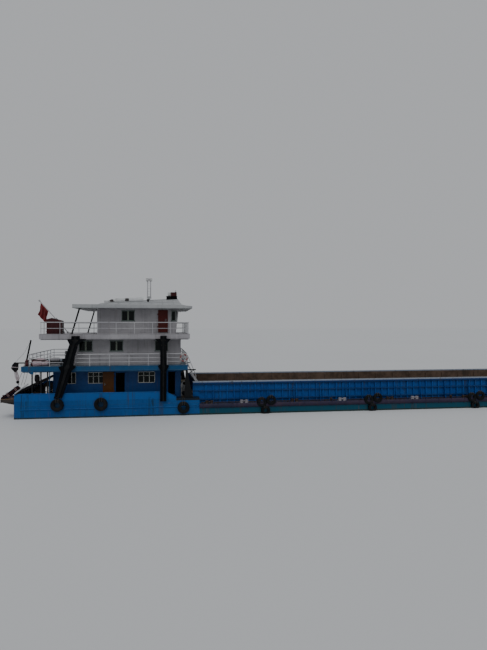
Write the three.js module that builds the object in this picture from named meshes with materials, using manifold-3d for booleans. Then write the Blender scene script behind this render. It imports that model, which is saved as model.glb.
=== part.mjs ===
// River sand barge with a three-storey stern house, as a half-size model.
// Everything is drawn in metres of the full-size ship, and the ship group turns that into
// millimetres of the model. x runs forward, y to port and z up, from the flat bottom amidships.

import * as THREE from "three";
import { mergeVertices } from "three/addons/utils/BufferGeometryUtils.js";
import Module from "manifold-3d";

const wasm = await Module();
wasm.setup();

// Scale of the model, and the gap kept between pieces that touch
const MODEL_SCALE = 0.5;
const MM_PER_METRE = 1000 * MODEL_SCALE;
const GAP = 0.3 / MM_PER_METRE;

// Hull, in metres of the ship
const LENGTH = 56;
const HALF_BEAM = 5.2;
const BILGE = 0.35;
const STERN_END = 14.4;
const BOW_START = 49;
const HOLD_HALF = 4.03;

// Levels above the flat bottom
const RUN_LEVEL = 1.85;
const HOLD_FLOOR = 0.9;
const SIDE_DECK = 3.1;
const MAIN_DECK = 3.69;
const FORE_DECK = 3.95;
const BULWARK_TOP = 4.24;
const COAMING_TOP = 4.95;
const BOAT_DECK = 6.39;
const BRIDGE_DECK = 8.93;
const DECK_SLAB = 0.4;
const EAVE = 10.99;

// Sterngear
const SHAFT_OUT = 2.4;
const SHAFT_LEVEL = 1.0;
const PROPELLER_FACE = 5.45;
const RUDDER_STOCK = 3.9;
const STOCK_RADIUS = 0.09;

// Doors, one pair on the main deck and one pair at the wheelhouse
const LEAF_THICK = 0.04;
const HINGE_OUT = 0.05;
const HINGE_RADIUS = 0.03;
const KNUCKLE = 0.1;
const LEAF_START = 0.045;

const SIDES = [["port", 1], ["starboard", -1]];

// Position along the ship, measured from the transom
const at = (fromTransom) => fromTransom - LENGTH / 2;

// A range across the ship, mirrored for the starboard side
const across = (side, inner, outer) => (side > 0 ? [inner, outer] : [-outer, -inner]);

// Colours with roughness and metalness, as the ship shows them
function paint(color, roughness = 0.6, metalness = 0) {
  return new THREE.MeshStandardMaterial({ color, roughness, metalness });
}
const BLUE = paint(0x0d5c9e);
const DARK_BLUE = paint(0x123a6b);
const WHITE = paint(0xc9cdd2);
const ROOF_GREY = paint(0xa4abb0);
const RAIL_RED = paint(0x8a4a5c);
const DOOR_ORANGE = paint(0x9a5a24);
const DOOR_RED = paint(0x6d1f1c);
const RUBBER = paint(0x141414, 0.9);
const CANVAS = paint(0x1a1b1d, 0.95);
const FLAG_RED = paint(0xa3202a, 0.9);
const BRONZE = paint(0x9c7a3c, 0.35, 0.9);
const STEEL = paint(0x55585c, 0.5, 0.6);

const ship = new THREE.Group();
ship.scale.setScalar(MM_PER_METRE);

function add(name, geometry, material, position = [0, 0, 0]) {
  const mesh = new THREE.Mesh(geometry, material);
  mesh.name = name;
  mesh.position.set(...position);
  ship.add(mesh);
}

// Joining and cutting
function solid(geometry) {
  const plain = new THREE.BufferGeometry();
  plain.setAttribute("position", geometry.getAttribute("position").clone());
  plain.setIndex(geometry.index);
  const merged = mergeVertices(plain, 1e-5);
  return new wasm.Manifold(new wasm.Mesh({
    numProp: 3,
    vertProperties: new Float32Array(merged.getAttribute("position").array),
    triVerts: new Uint32Array(merged.index.array),
  }));
}

function drawn(manifold) {
  const { vertProperties, triVerts } = manifold.getMesh();
  const geometry = new THREE.BufferGeometry();
  geometry.setAttribute("position", new THREE.BufferAttribute(vertProperties, 3));
  geometry.setIndex(new THREE.BufferAttribute(triVerts, 1));
  return geometry;
}

const join = (...parts) => drawn(parts.map(solid).reduce((a, b) => a.add(b)));
const common = (a, b) => drawn(solid(a).intersect(solid(b)));

// How far a cutting shape reaches past the faces of the plate that it cuts
const CUT_OVER = 0.1;

function pierce(plate, tools) {
  return tools.length ? drawn(tools.map(solid).reduce((a, b) => a.subtract(b), solid(plate))) : plate;
}

// Basic shapes
function block([x0, x1], [y0, y1], [z0, z1]) {
  const box = new THREE.BoxGeometry(x1 - x0, y1 - y0, z1 - z0);
  return box.translate((x0 + x1) / 2, (y0 + y1) / 2, (z0 + z1) / 2);
}

const rect = ([a0, a1], [b0, b1]) => [[a0, b0], [a1, b0], [a1, b1], [a0, b1]];

function extruded(outline, depth) {
  const shape = new THREE.Shape(outline.map(([a, b]) => new THREE.Vector2(a, b)));
  return new THREE.ExtrudeGeometry(shape, { depth, bevelEnabled: false });
}

// A plate drawn in x and z, with its thickness across the ship
function sidePlate(outline, [y0, y1], holes = []) {
  const plate = extruded(outline, y1 - y0).rotateX(Math.PI / 2).translate(0, y1, 0);
  return pierce(plate, holes.map((hole) => sidePlate(hole, [y0 - CUT_OVER, y1 + CUT_OVER])));
}

// A plate drawn in y and z, with its thickness along the ship
function crossPlate(outline, [x0, x1], holes = []) {
  const turn = new THREE.Matrix4().makeBasis(
    new THREE.Vector3(0, 1, 0), new THREE.Vector3(0, 0, 1), new THREE.Vector3(1, 0, 0));
  const plate = extruded(outline, x1 - x0).applyMatrix4(turn).translate(x0, 0, 0);
  return pierce(plate, holes.map((hole) => crossPlate(hole, [x0 - CUT_OVER, x1 + CUT_OVER])));
}

// A plate drawn in x and y, with its thickness upright
function deckPlate(outline, [z0, z1]) {
  return extruded(outline, z1 - z0).translate(0, 0, z0);
}

function post(radius, [z0, z1], [x, y], sides = 12) {
  const geometry = new THREE.CylinderGeometry(radius, radius, z1 - z0, sides);
  return geometry.rotateX(Math.PI / 2).translate(x, y, (z0 + z1) / 2);
}

// A closed skin over rings of equal length, the first and last ring capped
function loft(rings) {
  const size = rings[0].length;
  const points = rings.flat(2);
  const faces = [];
  for (let ring = 0; ring + 1 < rings.length; ring += 1) {
    for (let i = 0; i < size; i += 1) {
      const a = ring * size + i;
      const b = ring * size + ((i + 1) % size);
      faces.push(a, b, b + size, a, b + size, a + size);
    }
  }
  const last = (rings.length - 1) * size;
  for (let i = 1; i + 1 < size; i += 1) {
    faces.push(0, i + 1, i, last, last + i, last + i + 1);
  }
  const geometry = new THREE.BufferGeometry();
  geometry.setAttribute("position", new THREE.Float32BufferAttribute(points, 3));
  geometry.setIndex(faces);
  return geometry;
}

// Hull blocks
const BILGE_HALF = HALF_BEAM - BILGE;

function hullSection(top) {
  return [
    [-BILGE_HALF, 0], [BILGE_HALF, 0], [HALF_BEAM, BILGE],
    [HALF_BEAM, top], [-HALF_BEAM, top], [-HALF_BEAM, BILGE],
  ];
}

function hullStern() {
  const profile = [
    [at(0), RUN_LEVEL], [at(6.4), RUN_LEVEL], [at(10.5), 0],
    [at(STERN_END), 0], [at(STERN_END), MAIN_DECK], [at(0), MAIN_DECK],
  ];
  const body = common(
    sidePlate(profile, [-HALF_BEAM, HALF_BEAM]),
    crossPlate(hullSection(MAIN_DECK), [at(0), at(STERN_END)]));
  const skeg = [[at(5.9), 1.9], [at(5.9), 0.8], [at(9.8), 0.3], [at(9.8), 1.9]];
  const gear = SIDES.flatMap(([, side]) => {
    const bossing = new THREE.CylinderGeometry(0.2, 0.2, 2.4, 12).rotateZ(Math.PI / 2);
    return [
      sidePlate(skeg, across(side, SHAFT_OUT - 0.12, SHAFT_OUT + 0.12)),
      bossing.translate(at(PROPELLER_FACE + 1.2), side * SHAFT_OUT, SHAFT_LEVEL),
    ];
  });
  return join(body, ...gear);
}

// Forward half of a waterline: half an ellipse from one hull side round the stem to the other
function waterline(reach, half, level, steps = 9) {
  const points = [];
  for (let i = -steps; i <= steps; i += 1) {
    const y = (half * i) / steps;
    points.push([at(BOW_START) + reach * Math.sqrt(1 - (i / steps) ** 2), y, level]);
  }
  return points;
}

const BOW_REACH = 7;
const BOW_LEVELS = [
  // level, reach past the hold end, half breadth
  [0, 2.2, BILGE_HALF],
  [BILGE, 3.2, HALF_BEAM],
  [1.6, 5.3, HALF_BEAM],
  [SIDE_DECK, 6.6, HALF_BEAM],
  [FORE_DECK, BOW_REACH, HALF_BEAM],
];

// Mooring bitts: two posts on a base plate
const BITT_HEIGHT = 0.33;
const BITT_SPREAD = 0.2;

function bitts(x, y, deck) {
  return [
    block([x - 0.45, x + 0.45], [y - 0.15, y + 0.15], [deck - 0.02, deck + 0.06]),
    post(0.11, [deck, deck + BITT_HEIGHT], [x - BITT_SPREAD, y], 8),
    post(0.11, [deck, deck + BITT_HEIGHT], [x + BITT_SPREAD, y], 8),
  ];
}

const SIDE_BITTS = [15.2, 18.1, 22.4, 26.6, 30.9, 33.2, 38.0, 43.0];
const BITTS_OUT = 5.04;
const MIDDLE = [at(STERN_END) + GAP, at(BOW_START) - GAP];

function buildHull() {
  add("hull_stern", hullStern(), BLUE);
  add("hull_bottom", crossPlate(hullSection(HOLD_FLOOR), MIDDLE), DARK_BLUE);
  for (const [name, side] of SIDES) {
    const tank = block(MIDDLE, across(side, HOLD_HALF, HALF_BEAM), [HOLD_FLOOR + GAP, SIDE_DECK]);
    const fittings = SIDE_BITTS.flatMap((u) => bitts(at(u), side * BITTS_OUT, SIDE_DECK));
    add(`hull_side_${name}`, join(tank, ...fittings), DARK_BLUE);
  }
  const bow = loft(BOW_LEVELS.map(([level, reach, half]) => waterline(reach, half, level)));
  const bowBitts = SIDES.flatMap(([, side]) => bitts(at(50.3), side * 3.6, FORE_DECK));
  add("hull_bow", join(bow, ...bowBitts), BLUE);
}

// Bulwarks round the stern and the foredeck
const PLATE = 0.06;

// Pillars between the bulwark and the overhang of the boat deck, the first under a knee of the deck
const UNDER_BOAT = BOAT_DECK - DECK_SLAB;
const KNEE_LOW = 5.78;
const PILLAR_WIDE = 0.1;
const PILLARS = [
  // from transom, level of the top
  [1.29, KNEE_LOW], [1.95, UNDER_BOAT], [2.45, UNDER_BOAT],
];

// Platform hung out over the transom, with one slanted beam that rises over the bulwark
const PLATFORM = { reach: 1.15, low: 3.57, high: 3.78, near: -4.6, far: -3.1 };
const BEAM_OUT = [-4.5, -4.3];

function sternPlatform() {
  const { reach, low, high, near, far } = PLATFORM;
  const foot = high - 0.02;
  const beam = [
    [at(-reach), foot], [at(-0.95), foot], [at(0.3), 4.63], [at(0.08), 4.86], [at(-reach), 3.93]];
  return [
    block([at(-reach), at(0) - GAP], [near, far], [low, high]),
    block([at(-reach), at(PLATE)], [near, far], [MAIN_DECK + GAP, high]),
    sidePlate(beam, BEAM_OUT),
  ];
}

function buildBulwarks() {
  const foot = MAIN_DECK + GAP;
  const outline = [
    [at(0), foot], [at(12.5), foot], [at(12.5), 3.78], [at(11.65), BULWARK_TOP],
    [at(0.35), BULWARK_TOP], [at(0.1), 4.16], [at(0), 3.98],
  ];
  for (const [name, side] of SIDES) {
    const thick = across(side, HALF_BEAM - PLATE, HALF_BEAM);
    const pillars = PILLARS.map(([u, top]) => block(
      [at(u), at(u) + PILLAR_WIDE], thick, [BULWARK_TOP - 0.1, top - GAP]));
    add(`bulwark_${name}`, join(sidePlate(outline, thick), ...pillars), BLUE);
  }
  const inner = HALF_BEAM - PLATE - GAP;
  const transom = block([at(0), at(PLATE)], [-inner, inner], [foot, BULWARK_TOP]);
  add("bulwark_aft", join(transom, ...sternPlatform()), BLUE);

  const height = 0.75;
  const sheer = 0.45;
  const outer = waterline(BOW_REACH, HALF_BEAM, 0).map(([x, y]) => [x, y]);
  const lining = waterline(BOW_REACH - 0.15, HALF_BEAM - 0.1, 0).map(([x, y]) => [x, y]).reverse();
  const bow = deckPlate([...outer, ...lining], [FORE_DECK + GAP, FORE_DECK + height]);
  const position = bow.getAttribute("position");
  for (let i = 0; i < position.count; i += 1) {
    if (position.getZ(i) > FORE_DECK + height / 2) {
      const forward = (position.getX(i) - at(BOW_START)) / BOW_REACH;
      position.setZ(i, position.getZ(i) + sheer * forward ** 2);
    }
  }
  add("bulwark_bow", bow, BLUE);
}

// Hold coamings: a plate with upright stiffeners outside and a box rail along the top
const COAMING_PLATE = 0.12;
const RIB_DEPTH = 0.12;
const RIB_WIDE = 0.1;
const RIB_PITCH = 0.6;
const TOP_RAIL = 0.22;
const COAMING_AFT = 13.9;

function stations(from, to, pitch) {
  const count = Math.round((to - from) / pitch);
  return Array.from({ length: count - 1 }, (_, i) => from + ((to - from) * (i + 1)) / count);
}

function buildCoamings() {
  const rimLow = COAMING_TOP - TOP_RAIL;
  const foot = SIDE_DECK + GAP;
  const [, foreEnd] = MIDDLE;
  const outline = [
    [at(COAMING_AFT), MAIN_DECK + GAP], [MIDDLE[0], MAIN_DECK + GAP], [MIDDLE[0], foot],
    [foreEnd, foot], [foreEnd, COAMING_TOP], [at(COAMING_AFT), COAMING_TOP],
  ];
  const face = HOLD_HALF + COAMING_PLATE;
  for (const [name, side] of SIDES) {
    const ribs = stations(MIDDLE[0], foreEnd, RIB_PITCH).map((x) => block(
      [x - RIB_WIDE / 2, x + RIB_WIDE / 2], across(side, face - 0.02, face + RIB_DEPTH),
      [foot, rimLow + 0.02]));
    const rail = block([at(COAMING_AFT), foreEnd], across(side, HOLD_HALF, face + RIB_DEPTH + 0.06),
      [rimLow, COAMING_TOP]);
    const plate = sidePlate(outline, across(side, HOLD_HALF, face));
    add(`coaming_${name}`, join(plate, rail, ...ribs), DARK_BLUE);
  }
  const inner = HOLD_HALF - GAP;
  const ends = [
    // name, plate along x, stiffeners along x, foot level
    ["aft", [at(14.25), at(14.37)], [at(14.13), at(14.27)], MAIN_DECK + GAP],
    ["fore", [at(48.7), at(48.82)], [at(48.8), at(48.94)], HOLD_FLOOR + GAP],
  ];
  for (const [name, plate, stiffener, low] of ends) {
    const rail = [Math.min(plate[0], stiffener[0]), Math.max(plate[1], stiffener[1])];
    const ribs = stations(-inner, inner, RIB_PITCH * 2).map((y) => block(
      stiffener, [y - RIB_WIDE / 2, y + RIB_WIDE / 2], [low, rimLow + 0.02]));
    add(`coaming_${name}`, join(
      block(plate, [-inner, inner], [low, COAMING_TOP]),
      block(rail, [-inner, inner], [rimLow, COAMING_TOP]), ...ribs), DARK_BLUE);
  }
}

// Rub rails with the tyres that hang on them: a flat strip at the stern and a deep rail along the hold
const RUB_STRETCHES = [
  // aft end, fore end, low, high, depth
  [0.4, STERN_END, 2.97, 3.06, 0.04],
  [STERN_END - 0.02, BOW_START, 2.86, 3.2, 0.12],
];
const TYRE_HALF = 0.14;
const STERN_TYRES = [
  // from transom, level of the centre, radius
  [3.24, 3.36, 0.5], [6.56, 3.36, 0.52], [13.08, 2.95, 0.48],
];
const TYRE_CLUSTERS = [19.98, 29.32, 38.9];
const CLUSTER = [
  // from the middle of the cluster, level of the centre, radius
  [-0.44, 3.26, 0.4], [0.36, 3.4, 0.4], [-0.12, 2.57, 0.38],
];
const TYRES = [
  ...STERN_TYRES,
  ...TYRE_CLUSTERS.flatMap((middle) => CLUSTER.map(([u, ...rest]) => [middle + u, ...rest])),
];

function tyre(x, y, z, radius) {
  const profile = [
    // share of the radius, half width
    [0.44, -0.09], [0.84, -TYRE_HALF], [1, -0.08],
    [1, 0.08], [0.84, TYRE_HALF], [0.44, 0.09], [0.44, -0.09],
  ].map(([share, width]) => new THREE.Vector2(share * radius, width));
  return new THREE.LatheGeometry(profile, 12).translate(x, y, z);
}

function buildRubRails() {
  const side0 = HALF_BEAM + GAP;
  for (const [name, side] of SIDES) {
    const rails = RUB_STRETCHES.map(([aft, fore, low, high, depth]) => block(
      [at(aft), at(fore)], across(side, side0, side0 + depth), [low, high]));
    const tyres = TYRES.map(([u, level, radius]) => tyre(
      at(u), side * (side0 + TYRE_HALF), level, radius));
    add(`rub_rail_${name}`, join(...rails, ...tyres), RAIL_RED);
  }
}

// Black fender columns outside the deck edges, with knees under both decks
const COLUMN_THICK = 0.26;
const FENDER_COLUMNS = {
  aft: [
    // level, centre from transom, half width
    [8.77, 4.64, 0.31], [8.53, 4.62, 0.32], [8.5, 4.7, 0.72], [8.12, 4.5, 0.34],
    [7.1, 4.2, 0.36], [6.45, 4.05, 0.42], [6.36, 4.0, 0.66], [5.98, 3.92, 0.4],
    [4.08, 3.36, 0.31], [3.9, 3.3, 0.31],
  ],
  fore: [
    [8.77, 11.47, 0.26], [8.53, 11.47, 0.27], [8.5, 11.42, 0.64], [8.12, 11.46, 0.27],
    [6.45, 11.47, 0.26], [6.36, 11.47, 0.45], [5.98, 11.47, 0.26], [3.5, 11.45, 0.26],
  ],
};

function buildFenderColumns() {
  for (const [place, rows] of Object.entries(FENDER_COLUMNS)) {
    const aftEdge = rows.map(([level, centre, half]) => [at(centre - half), level]);
    const foreEdge = rows.map(([level, centre, half]) => [at(centre + half), level]);
    const outline = [...aftEdge, ...foreEdge.reverse()];
    for (const [name, side] of SIDES) {
      const depth = across(side, HALF_BEAM + GAP, HALF_BEAM + GAP + COLUMN_THICK);
      add(`fender_column_${place}_${name}`, sidePlate(outline, depth), RUBBER);
    }
  }
}

// The three storeys, each of four flat walls with its windows and doorways cut out
const WALL = 0.12;
const STOREYS = [
  {
    name: "house", paint: DARK_BLUE, floor: MAIN_DECK, top: BOAT_DECK - DECK_SLAB,
    aft: 2.7, fore: 12.9, rake: 0, half: 4.05,
    sideHoles: [
      // from, to, low, high
      [3.78, 4.48, 4.88, 5.8], [5.42, 6.69, 4.88, 5.8], [7.58, 8.38, 3.84, 5.78],
      [9.41, 10.79, 4.88, 5.8], [11.82, 12.48, 3.84, 5.8],
    ],
    foreHoles: [[-3.3, -1.9, 4.88, 5.7], [-0.45, 0.45, 3.84, 5.75], [1.9, 3.3, 4.88, 5.7]],
    aftHoles: [[2.2, 3.1, 3.84, 5.1]],
  },
  {
    name: "cabin", paint: WHITE, floor: BOAT_DECK, top: BRIDGE_DECK - DECK_SLAB,
    aft: 4.0, fore: 12.9, rake: 0, half: 4.2,
    sideHoles: [[4.73, 5.79, 7.52, 8.35], [7.17, 8.21, 7.52, 8.35], [10.79, 11.85, 7.52, 8.35]],
    foreHoles: [[-3.4, -2.2, 7.52, 8.35], [-0.6, 0.6, 7.52, 8.35], [2.2, 3.4, 7.52, 8.35]],
    aftHoles: [[-3.2, -2.2, 7.52, 8.35], [-0.42, 0.42, 6.5, 8.35], [2.2, 3.2, 7.52, 8.35]],
  },
  {
    name: "wheelhouse", paint: WHITE, floor: BRIDGE_DECK, top: EAVE,
    aft: 6.14, fore: 12.5, rake: 0.22, half: 4.1,
    sideHoles: [[8.09, 9.13, 9.98, 10.82], [11.06, 11.78, 9.08, 10.83], [12.0, 12.4, 9.98, 10.82]],
    foreHoles: [
      [-3.8, -2.1, 9.98, 10.82], [-1.9, -0.1, 9.98, 10.82],
      [0.1, 1.9, 9.98, 10.82], [2.1, 3.8, 9.98, 10.82],
    ],
    aftHoles: [[-3.0, -1.8, 9.98, 10.82], [1.8, 3.0, 9.98, 10.82]],
  },
];

const DOORS = {
  // hinge from transom, leaf direction at rest, leaf width, low, high, wall half breadth
  house: { hinge: 7.52, rest: -1, wide: 0.92, low: 3.8, high: 5.83, half: 4.05, paint: DOOR_ORANGE },
  wheelhouse: { hinge: 11.0, rest: 1, wide: 0.84, low: 9.04, high: 10.88, half: 4.1, paint: DOOR_RED },
};
const knuckleLevels = ({ low, high }) => [low + 0.3, high - 0.5];

function holesOf(rows, shift) {
  return rows.map(([a, b, low, high]) => rect([a + shift, b + shift], [low, high]));
}

function hingeLugs(door, side) {
  const face = door.half;
  return knuckleLevels(door).flatMap((level) => [
    post(HINGE_RADIUS, [level, level + KNUCKLE], [at(door.hinge), side * (face + HINGE_OUT)]),
    block([at(door.hinge) - 0.02, at(door.hinge) + 0.02], across(side, face - 0.02, face + HINGE_OUT),
      [level, level + KNUCKLE]),
  ]);
}

function buildStorey(storey) {
  const { name, aft, fore, rake, half } = storey;
  const low = storey.floor + GAP;
  const high = storey.top - GAP;
  const lean = rake / (high - low);
  const outline = [[at(aft), low], [at(fore), low], [at(fore) + rake, high], [at(aft), high]];
  const holes = holesOf(storey.sideHoles, -LENGTH / 2).map((hole, index) => {
    const isFront = rake > 0 && index === storey.sideHoles.length - 1;
    return isFront ? hole.map(([x, z]) => [x + lean * (z - low), z]) : hole;
  });
  for (const [sideName, side] of SIDES) {
    const plate = sidePlate(outline, across(side, half - WALL, half), holes);
    const door = DOORS[name];
    const wall = door ? join(plate, ...hingeLugs(door, side)) : plate;
    add(`${name}_wall_${sideName}`, wall, storey.paint);
  }
  const inner = half - WALL - GAP;
  const across2 = rect([-inner, inner], [low, high]);
  add(`${name}_wall_aft`, crossPlate(across2, [at(aft), at(aft) + WALL],
    holesOf(storey.aftHoles, 0)), storey.paint);
  const front = crossPlate(across2, [at(fore) - WALL, at(fore)], holesOf(storey.foreHoles, 0));
  const shear = new THREE.Matrix4().set(
    1, 0, lean, -lean * low, 0, 1, 0, 0, 0, 0, 1, 0, 0, 0, 0, 1);
  add(`${name}_wall_fore`, front.applyMatrix4(shear), storey.paint);
}

function buildDoors() {
  for (const [name, door] of Object.entries(DOORS)) {
    for (const [sideName, side] of SIDES) {
      const leafRange = [LEAF_START, door.wide].map((x) => x * door.rest).sort((a, b) => a - b);
      const webRange = [0, LEAF_START + 0.01].map((x) => x * door.rest).sort((a, b) => a - b);
      const thick = [-LEAF_THICK / 2, LEAF_THICK / 2];
      const leaf = block(leafRange, thick, [door.low, door.high]);
      const knuckles = knuckleLevels(door).flatMap((level) => {
        const range = [level + KNUCKLE + GAP, level + 2 * KNUCKLE];
        return [post(HINGE_RADIUS, range, [0, 0]), block(webRange, thick, range)];
      });
      add(`${name}_door_${sideName}`, join(leaf, ...knuckles), door.paint,
        [at(door.hinge), side * (door.half + HINGE_OUT), 0]);
    }
  }
}

// Deck slabs over the two lower storeys, and the crowned roof over the wheelhouse
const BOAT_SPAN = [0.52, 13.44];
const BOAT_RAIL_AFT = 0.98;
const BRIDGE_SPAN = [1.85, 13.6];
const HATCH = { along: [5.3, 6.4], across: [4.3, 4.95] };
const ROOF_HALF = 5.15;
const ROOF_ROWS = [
  // from transom, thickness at the eave, height of the crown
  [4.34, 0.3, 0.3], [6.2, 0.3, 0.31], [6.3, 0.3, 0.62], [12.8, 0.3, 1.02],
  [13.0, 0.27, 0.55], [13.3, 0.24, 0.33], [13.8, 0.2, 0.2],
];
const PROP_FOOT = BRIDGE_DECK + GAP;
const PROP = [[4.25, PROP_FOOT], [4.33, PROP_FOOT], [4.93, EAVE + 0.05], [4.85, EAVE + 0.05]];
const PROP_OUT = [4.98, 5.06];
const MAST_AT = 10.24;
const MAST_PIVOT = EAVE + 1.14;

// Knees under the aft corners of the boat deck, and tapered legs under its fore corners
const ROOT = UNDER_BOAT + 0.02;
const KNEE = [[0.96, ROOT], [1.25, KNEE_LOW], [1.43, KNEE_LOW], [1.43, ROOT]];
const LEG_FOOT = MAIN_DECK + GAP;
const LEG = [[13.14, LEG_FOOT], [13.84, LEG_FOOT], [13.42, ROOT], [13.28, ROOT]];
const LEG_OUT = [4.9, 5.02];

const shaped = (rows, depth) => sidePlate(rows.map(([u, z]) => [at(u), z]), depth);

function buildDecks() {
  const width = [-HALF_BEAM, HALF_BEAM];
  const slab = block(BOAT_SPAN.map(at), width, [UNDER_BOAT, BOAT_DECK]);
  const supports = SIDES.flatMap(([, side]) => [
    shaped(KNEE, across(side, HALF_BEAM - PLATE, HALF_BEAM)),
    shaped(LEG, across(side, ...LEG_OUT)),
  ]);
  add("boat_deck", join(slab, ...supports), BLUE);
  const bridge = block(BRIDGE_SPAN.map(at), width, [BRIDGE_DECK - DECK_SLAB, BRIDGE_DECK]);
  const through = [BRIDGE_DECK - DECK_SLAB - CUT_OVER, BRIDGE_DECK + CUT_OVER];
  add("bridge_deck", pierce(bridge, [block(HATCH.along.map(at), HATCH.across, through)]), WHITE);
}

function buildRoof() {
  const rings = ROOF_ROWS.map(([u, edge, crown]) => {
    const shoulder = edge + (crown - edge) * 0.6;
    return [
      [at(u), -ROOF_HALF, EAVE], [at(u), ROOF_HALF, EAVE], [at(u), ROOF_HALF, EAVE + edge],
      [at(u), ROOF_HALF / 2, EAVE + shoulder], [at(u), 0, EAVE + crown],
      [at(u), -ROOF_HALF / 2, EAVE + shoulder], [at(u), -ROOF_HALF, EAVE + edge],
    ];
  });
  const cheeks = SIDES.map(([, side]) => block(
    [at(MAST_AT) - 0.1, at(MAST_AT) + 0.1], across(side, 0.08 + GAP, 0.15),
    [EAVE + 0.4, MAST_PIVOT + 0.1]));
  const props = SIDES.map(([, side]) => shaped(PROP, across(side, ...PROP_OUT)));
  const searchlight = [
    block([at(11.8), at(12.72)], [-0.3, 0.3], [EAVE + 0.5, EAVE + 1.26]),
    block([at(12.2), at(12.68)], [-0.22, 0.22], [EAVE + 1.24, EAVE + 1.6]),
    post(0.13, [EAVE + 1.24, EAVE + 1.58], [at(12.04), 0]),
    post(0.06, [EAVE + 1.58, EAVE + 1.8], [at(12.6), 0], 8),
  ];
  add("wheelhouse_roof", join(loft(rings), ...props, ...cheeks, ...searchlight), ROOF_GREY);
}

// Railings: posts, a top tube and middle tubes, each side of a deck one flat panel
const TUBE = 0.06;
const POST_PITCH = 1.45;
const RAIL_IN = 0.05;

function railing(from, to, deck, bars) {
  const bays = Math.round((to - from) / POST_PITCH);
  const starts = Array.from({ length: bays + 1 }, (_, i) => from + ((to - from - TUBE) * i) / bays);
  const foot = deck + GAP;
  const lowBar = deck + bars[0] - TUBE;
  const outline = starts.flatMap((start, i) => {
    const feet = [[start, foot], [start + TUBE, foot]];
    return i < bays ? [...feet, [start + TUBE, lowBar], [starts[i + 1], lowBar]] : feet;
  });
  const top = deck + bars.at(-1);
  outline.push([to, top], [from, top]);
  const holes = bars.slice(1).flatMap((bar, row) => starts.slice(0, -1).map((start, i) => rect(
    [start + TUBE, starts[i + 1]], [deck + bars[row], deck + bar - TUBE])));
  return [outline, holes];
}

function buildRailings() {
  const decks = [
    ["boat", BOAT_DECK, [BOAT_RAIL_AFT, BOAT_SPAN[1]], [0.33, 0.64, 0.95]],
    ["bridge", BRIDGE_DECK, BRIDGE_SPAN, [0.47, 0.95]],
  ];
  for (const [name, deck, span, bars] of decks) {
    const [aft, fore] = [at(span[0]) + RAIL_IN, at(span[1]) - RAIL_IN];
    const outer = HALF_BEAM - RAIL_IN;
    const [sideOutline, sideHoles] = railing(aft, fore, deck, bars);
    for (const [sideName, side] of SIDES) {
      add(`${name}_rail_${sideName}`,
        sidePlate(sideOutline, across(side, outer - TUBE, outer), sideHoles), WHITE);
    }
    const inner = outer - TUBE - GAP;
    const [endOutline, endHoles] = railing(-inner, inner, deck, bars);
    add(`${name}_rail_aft`, crossPlate(endOutline, [aft, aft + TUBE], endHoles), WHITE);
    add(`${name}_rail_fore`, crossPlate(endOutline, [fore - TUBE, fore], endHoles), WHITE);
  }
}

// Ladders: two slanted stringers with treads between them
function ladder([footU, footZ], [headU, headZ], [y0, y1], treads) {
  const stringer = [
    [at(footU), footZ], [at(footU) + 0.12, footZ], [at(headU) + 0.12, headZ], [at(headU), headZ]];
  const steps = stations(0, 1, 1 / (treads + 1)).map((share) => {
    const x = at(footU + (headU - footU) * share);
    const z = footZ + (headZ - footZ) * share;
    return block([x, x + 0.12], [y0 + 0.02, y1 - 0.02], [z - 0.02, z + 0.02]);
  });
  return join(sidePlate(stringer, [y0, y0 + 0.05]), sidePlate(stringer, [y1 - 0.05, y1]), ...steps);
}

function buildLadders() {
  const foreHead = [BOAT_SPAN[1] + GAP, BOAT_DECK - 0.02];
  add("fore_ladder", ladder([14.14, COAMING_TOP + GAP], foreHead, [-3.9, -3.35], 4), WHITE);
  const hatchHead = [HATCH.along[0] + 0.02, BRIDGE_DECK - 0.02];
  add("aft_ladder", ladder([6.4, BOAT_DECK + GAP], hatchHead, [4.36, 4.9], 7), WHITE);
}

// Folding mast: two poles side by side under a lamp box
function buildMast() {
  const poles = [-0.135, 0.135].map((x) => post(0.035, [0, 1.5], [x, 0], 8));
  const foot = block([-0.2, 0.2], [-0.08, 0.08], [-0.1, 0.1]);
  const lamp = block([-0.27, 0.27], [-0.08, 0.08], [1.45, 1.7]);
  add("mast", join(foot, lamp, ...poles), STEEL, [at(MAST_AT), 0, MAST_PIVOT]);
}

// Flagstaff that leans aft from the bridge deck, and the limp flag that hangs below it
const STAFF = { foot: [3.83, BRIDGE_DECK], head: [1.52, 11.59], y: -3.3, radius: 0.035 };
const SHOE_HALF = 0.11;
const FINIAL_RADIUS = 0.065;
const FLAG_HOIST = [0.7, 0.96];
const FLAG_DROP = 0.98;
const FLAG_DRIFT = 0.14;
const FLAG_HALF = 0.06;

function buildFlag() {
  const [run, rise] = [STAFF.head[0] - STAFF.foot[0], STAFF.head[1] - STAFF.foot[1]];
  const length = Math.hypot(run, rise);
  const [x, y, z] = [at(STAFF.foot[0]), STAFF.y, STAFF.foot[1]];
  const rods = [
    post(STAFF.radius, [STAFF.radius * 2, length], [0, 0], 8),
    post(FINIAL_RADIUS, [length - 0.02, length + 0.1], [0, 0], 8),
  ].map((rod) => rod.rotateY(Math.atan2(run, rise)).translate(x, y, z));
  const [shoeX, shoeY] = [x, y].map((middle) => [middle - SHOE_HALF, middle + SHOE_HALF]);
  const shoe = block(shoeX, shoeY, [z + GAP, z + SHOE_HALF]);
  add("flagstaff", join(shoe, ...rods), WHITE);

  const clear = (STAFF.radius + GAP) / length;
  const [aside, down] = [-rise * clear, run * clear];
  const hoist = FLAG_HOIST.map((share) => [STAFF.foot[0] + run * share + aside, z + rise * share + down]);
  const fly = hoist.map(([u, level]) => [u - FLAG_DRIFT, level - FLAG_DROP]).reverse();
  add("flag", shaped([...hoist, ...fly], [y - FLAG_HALF, y + FLAG_HALF]), FLAG_RED);
}

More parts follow.
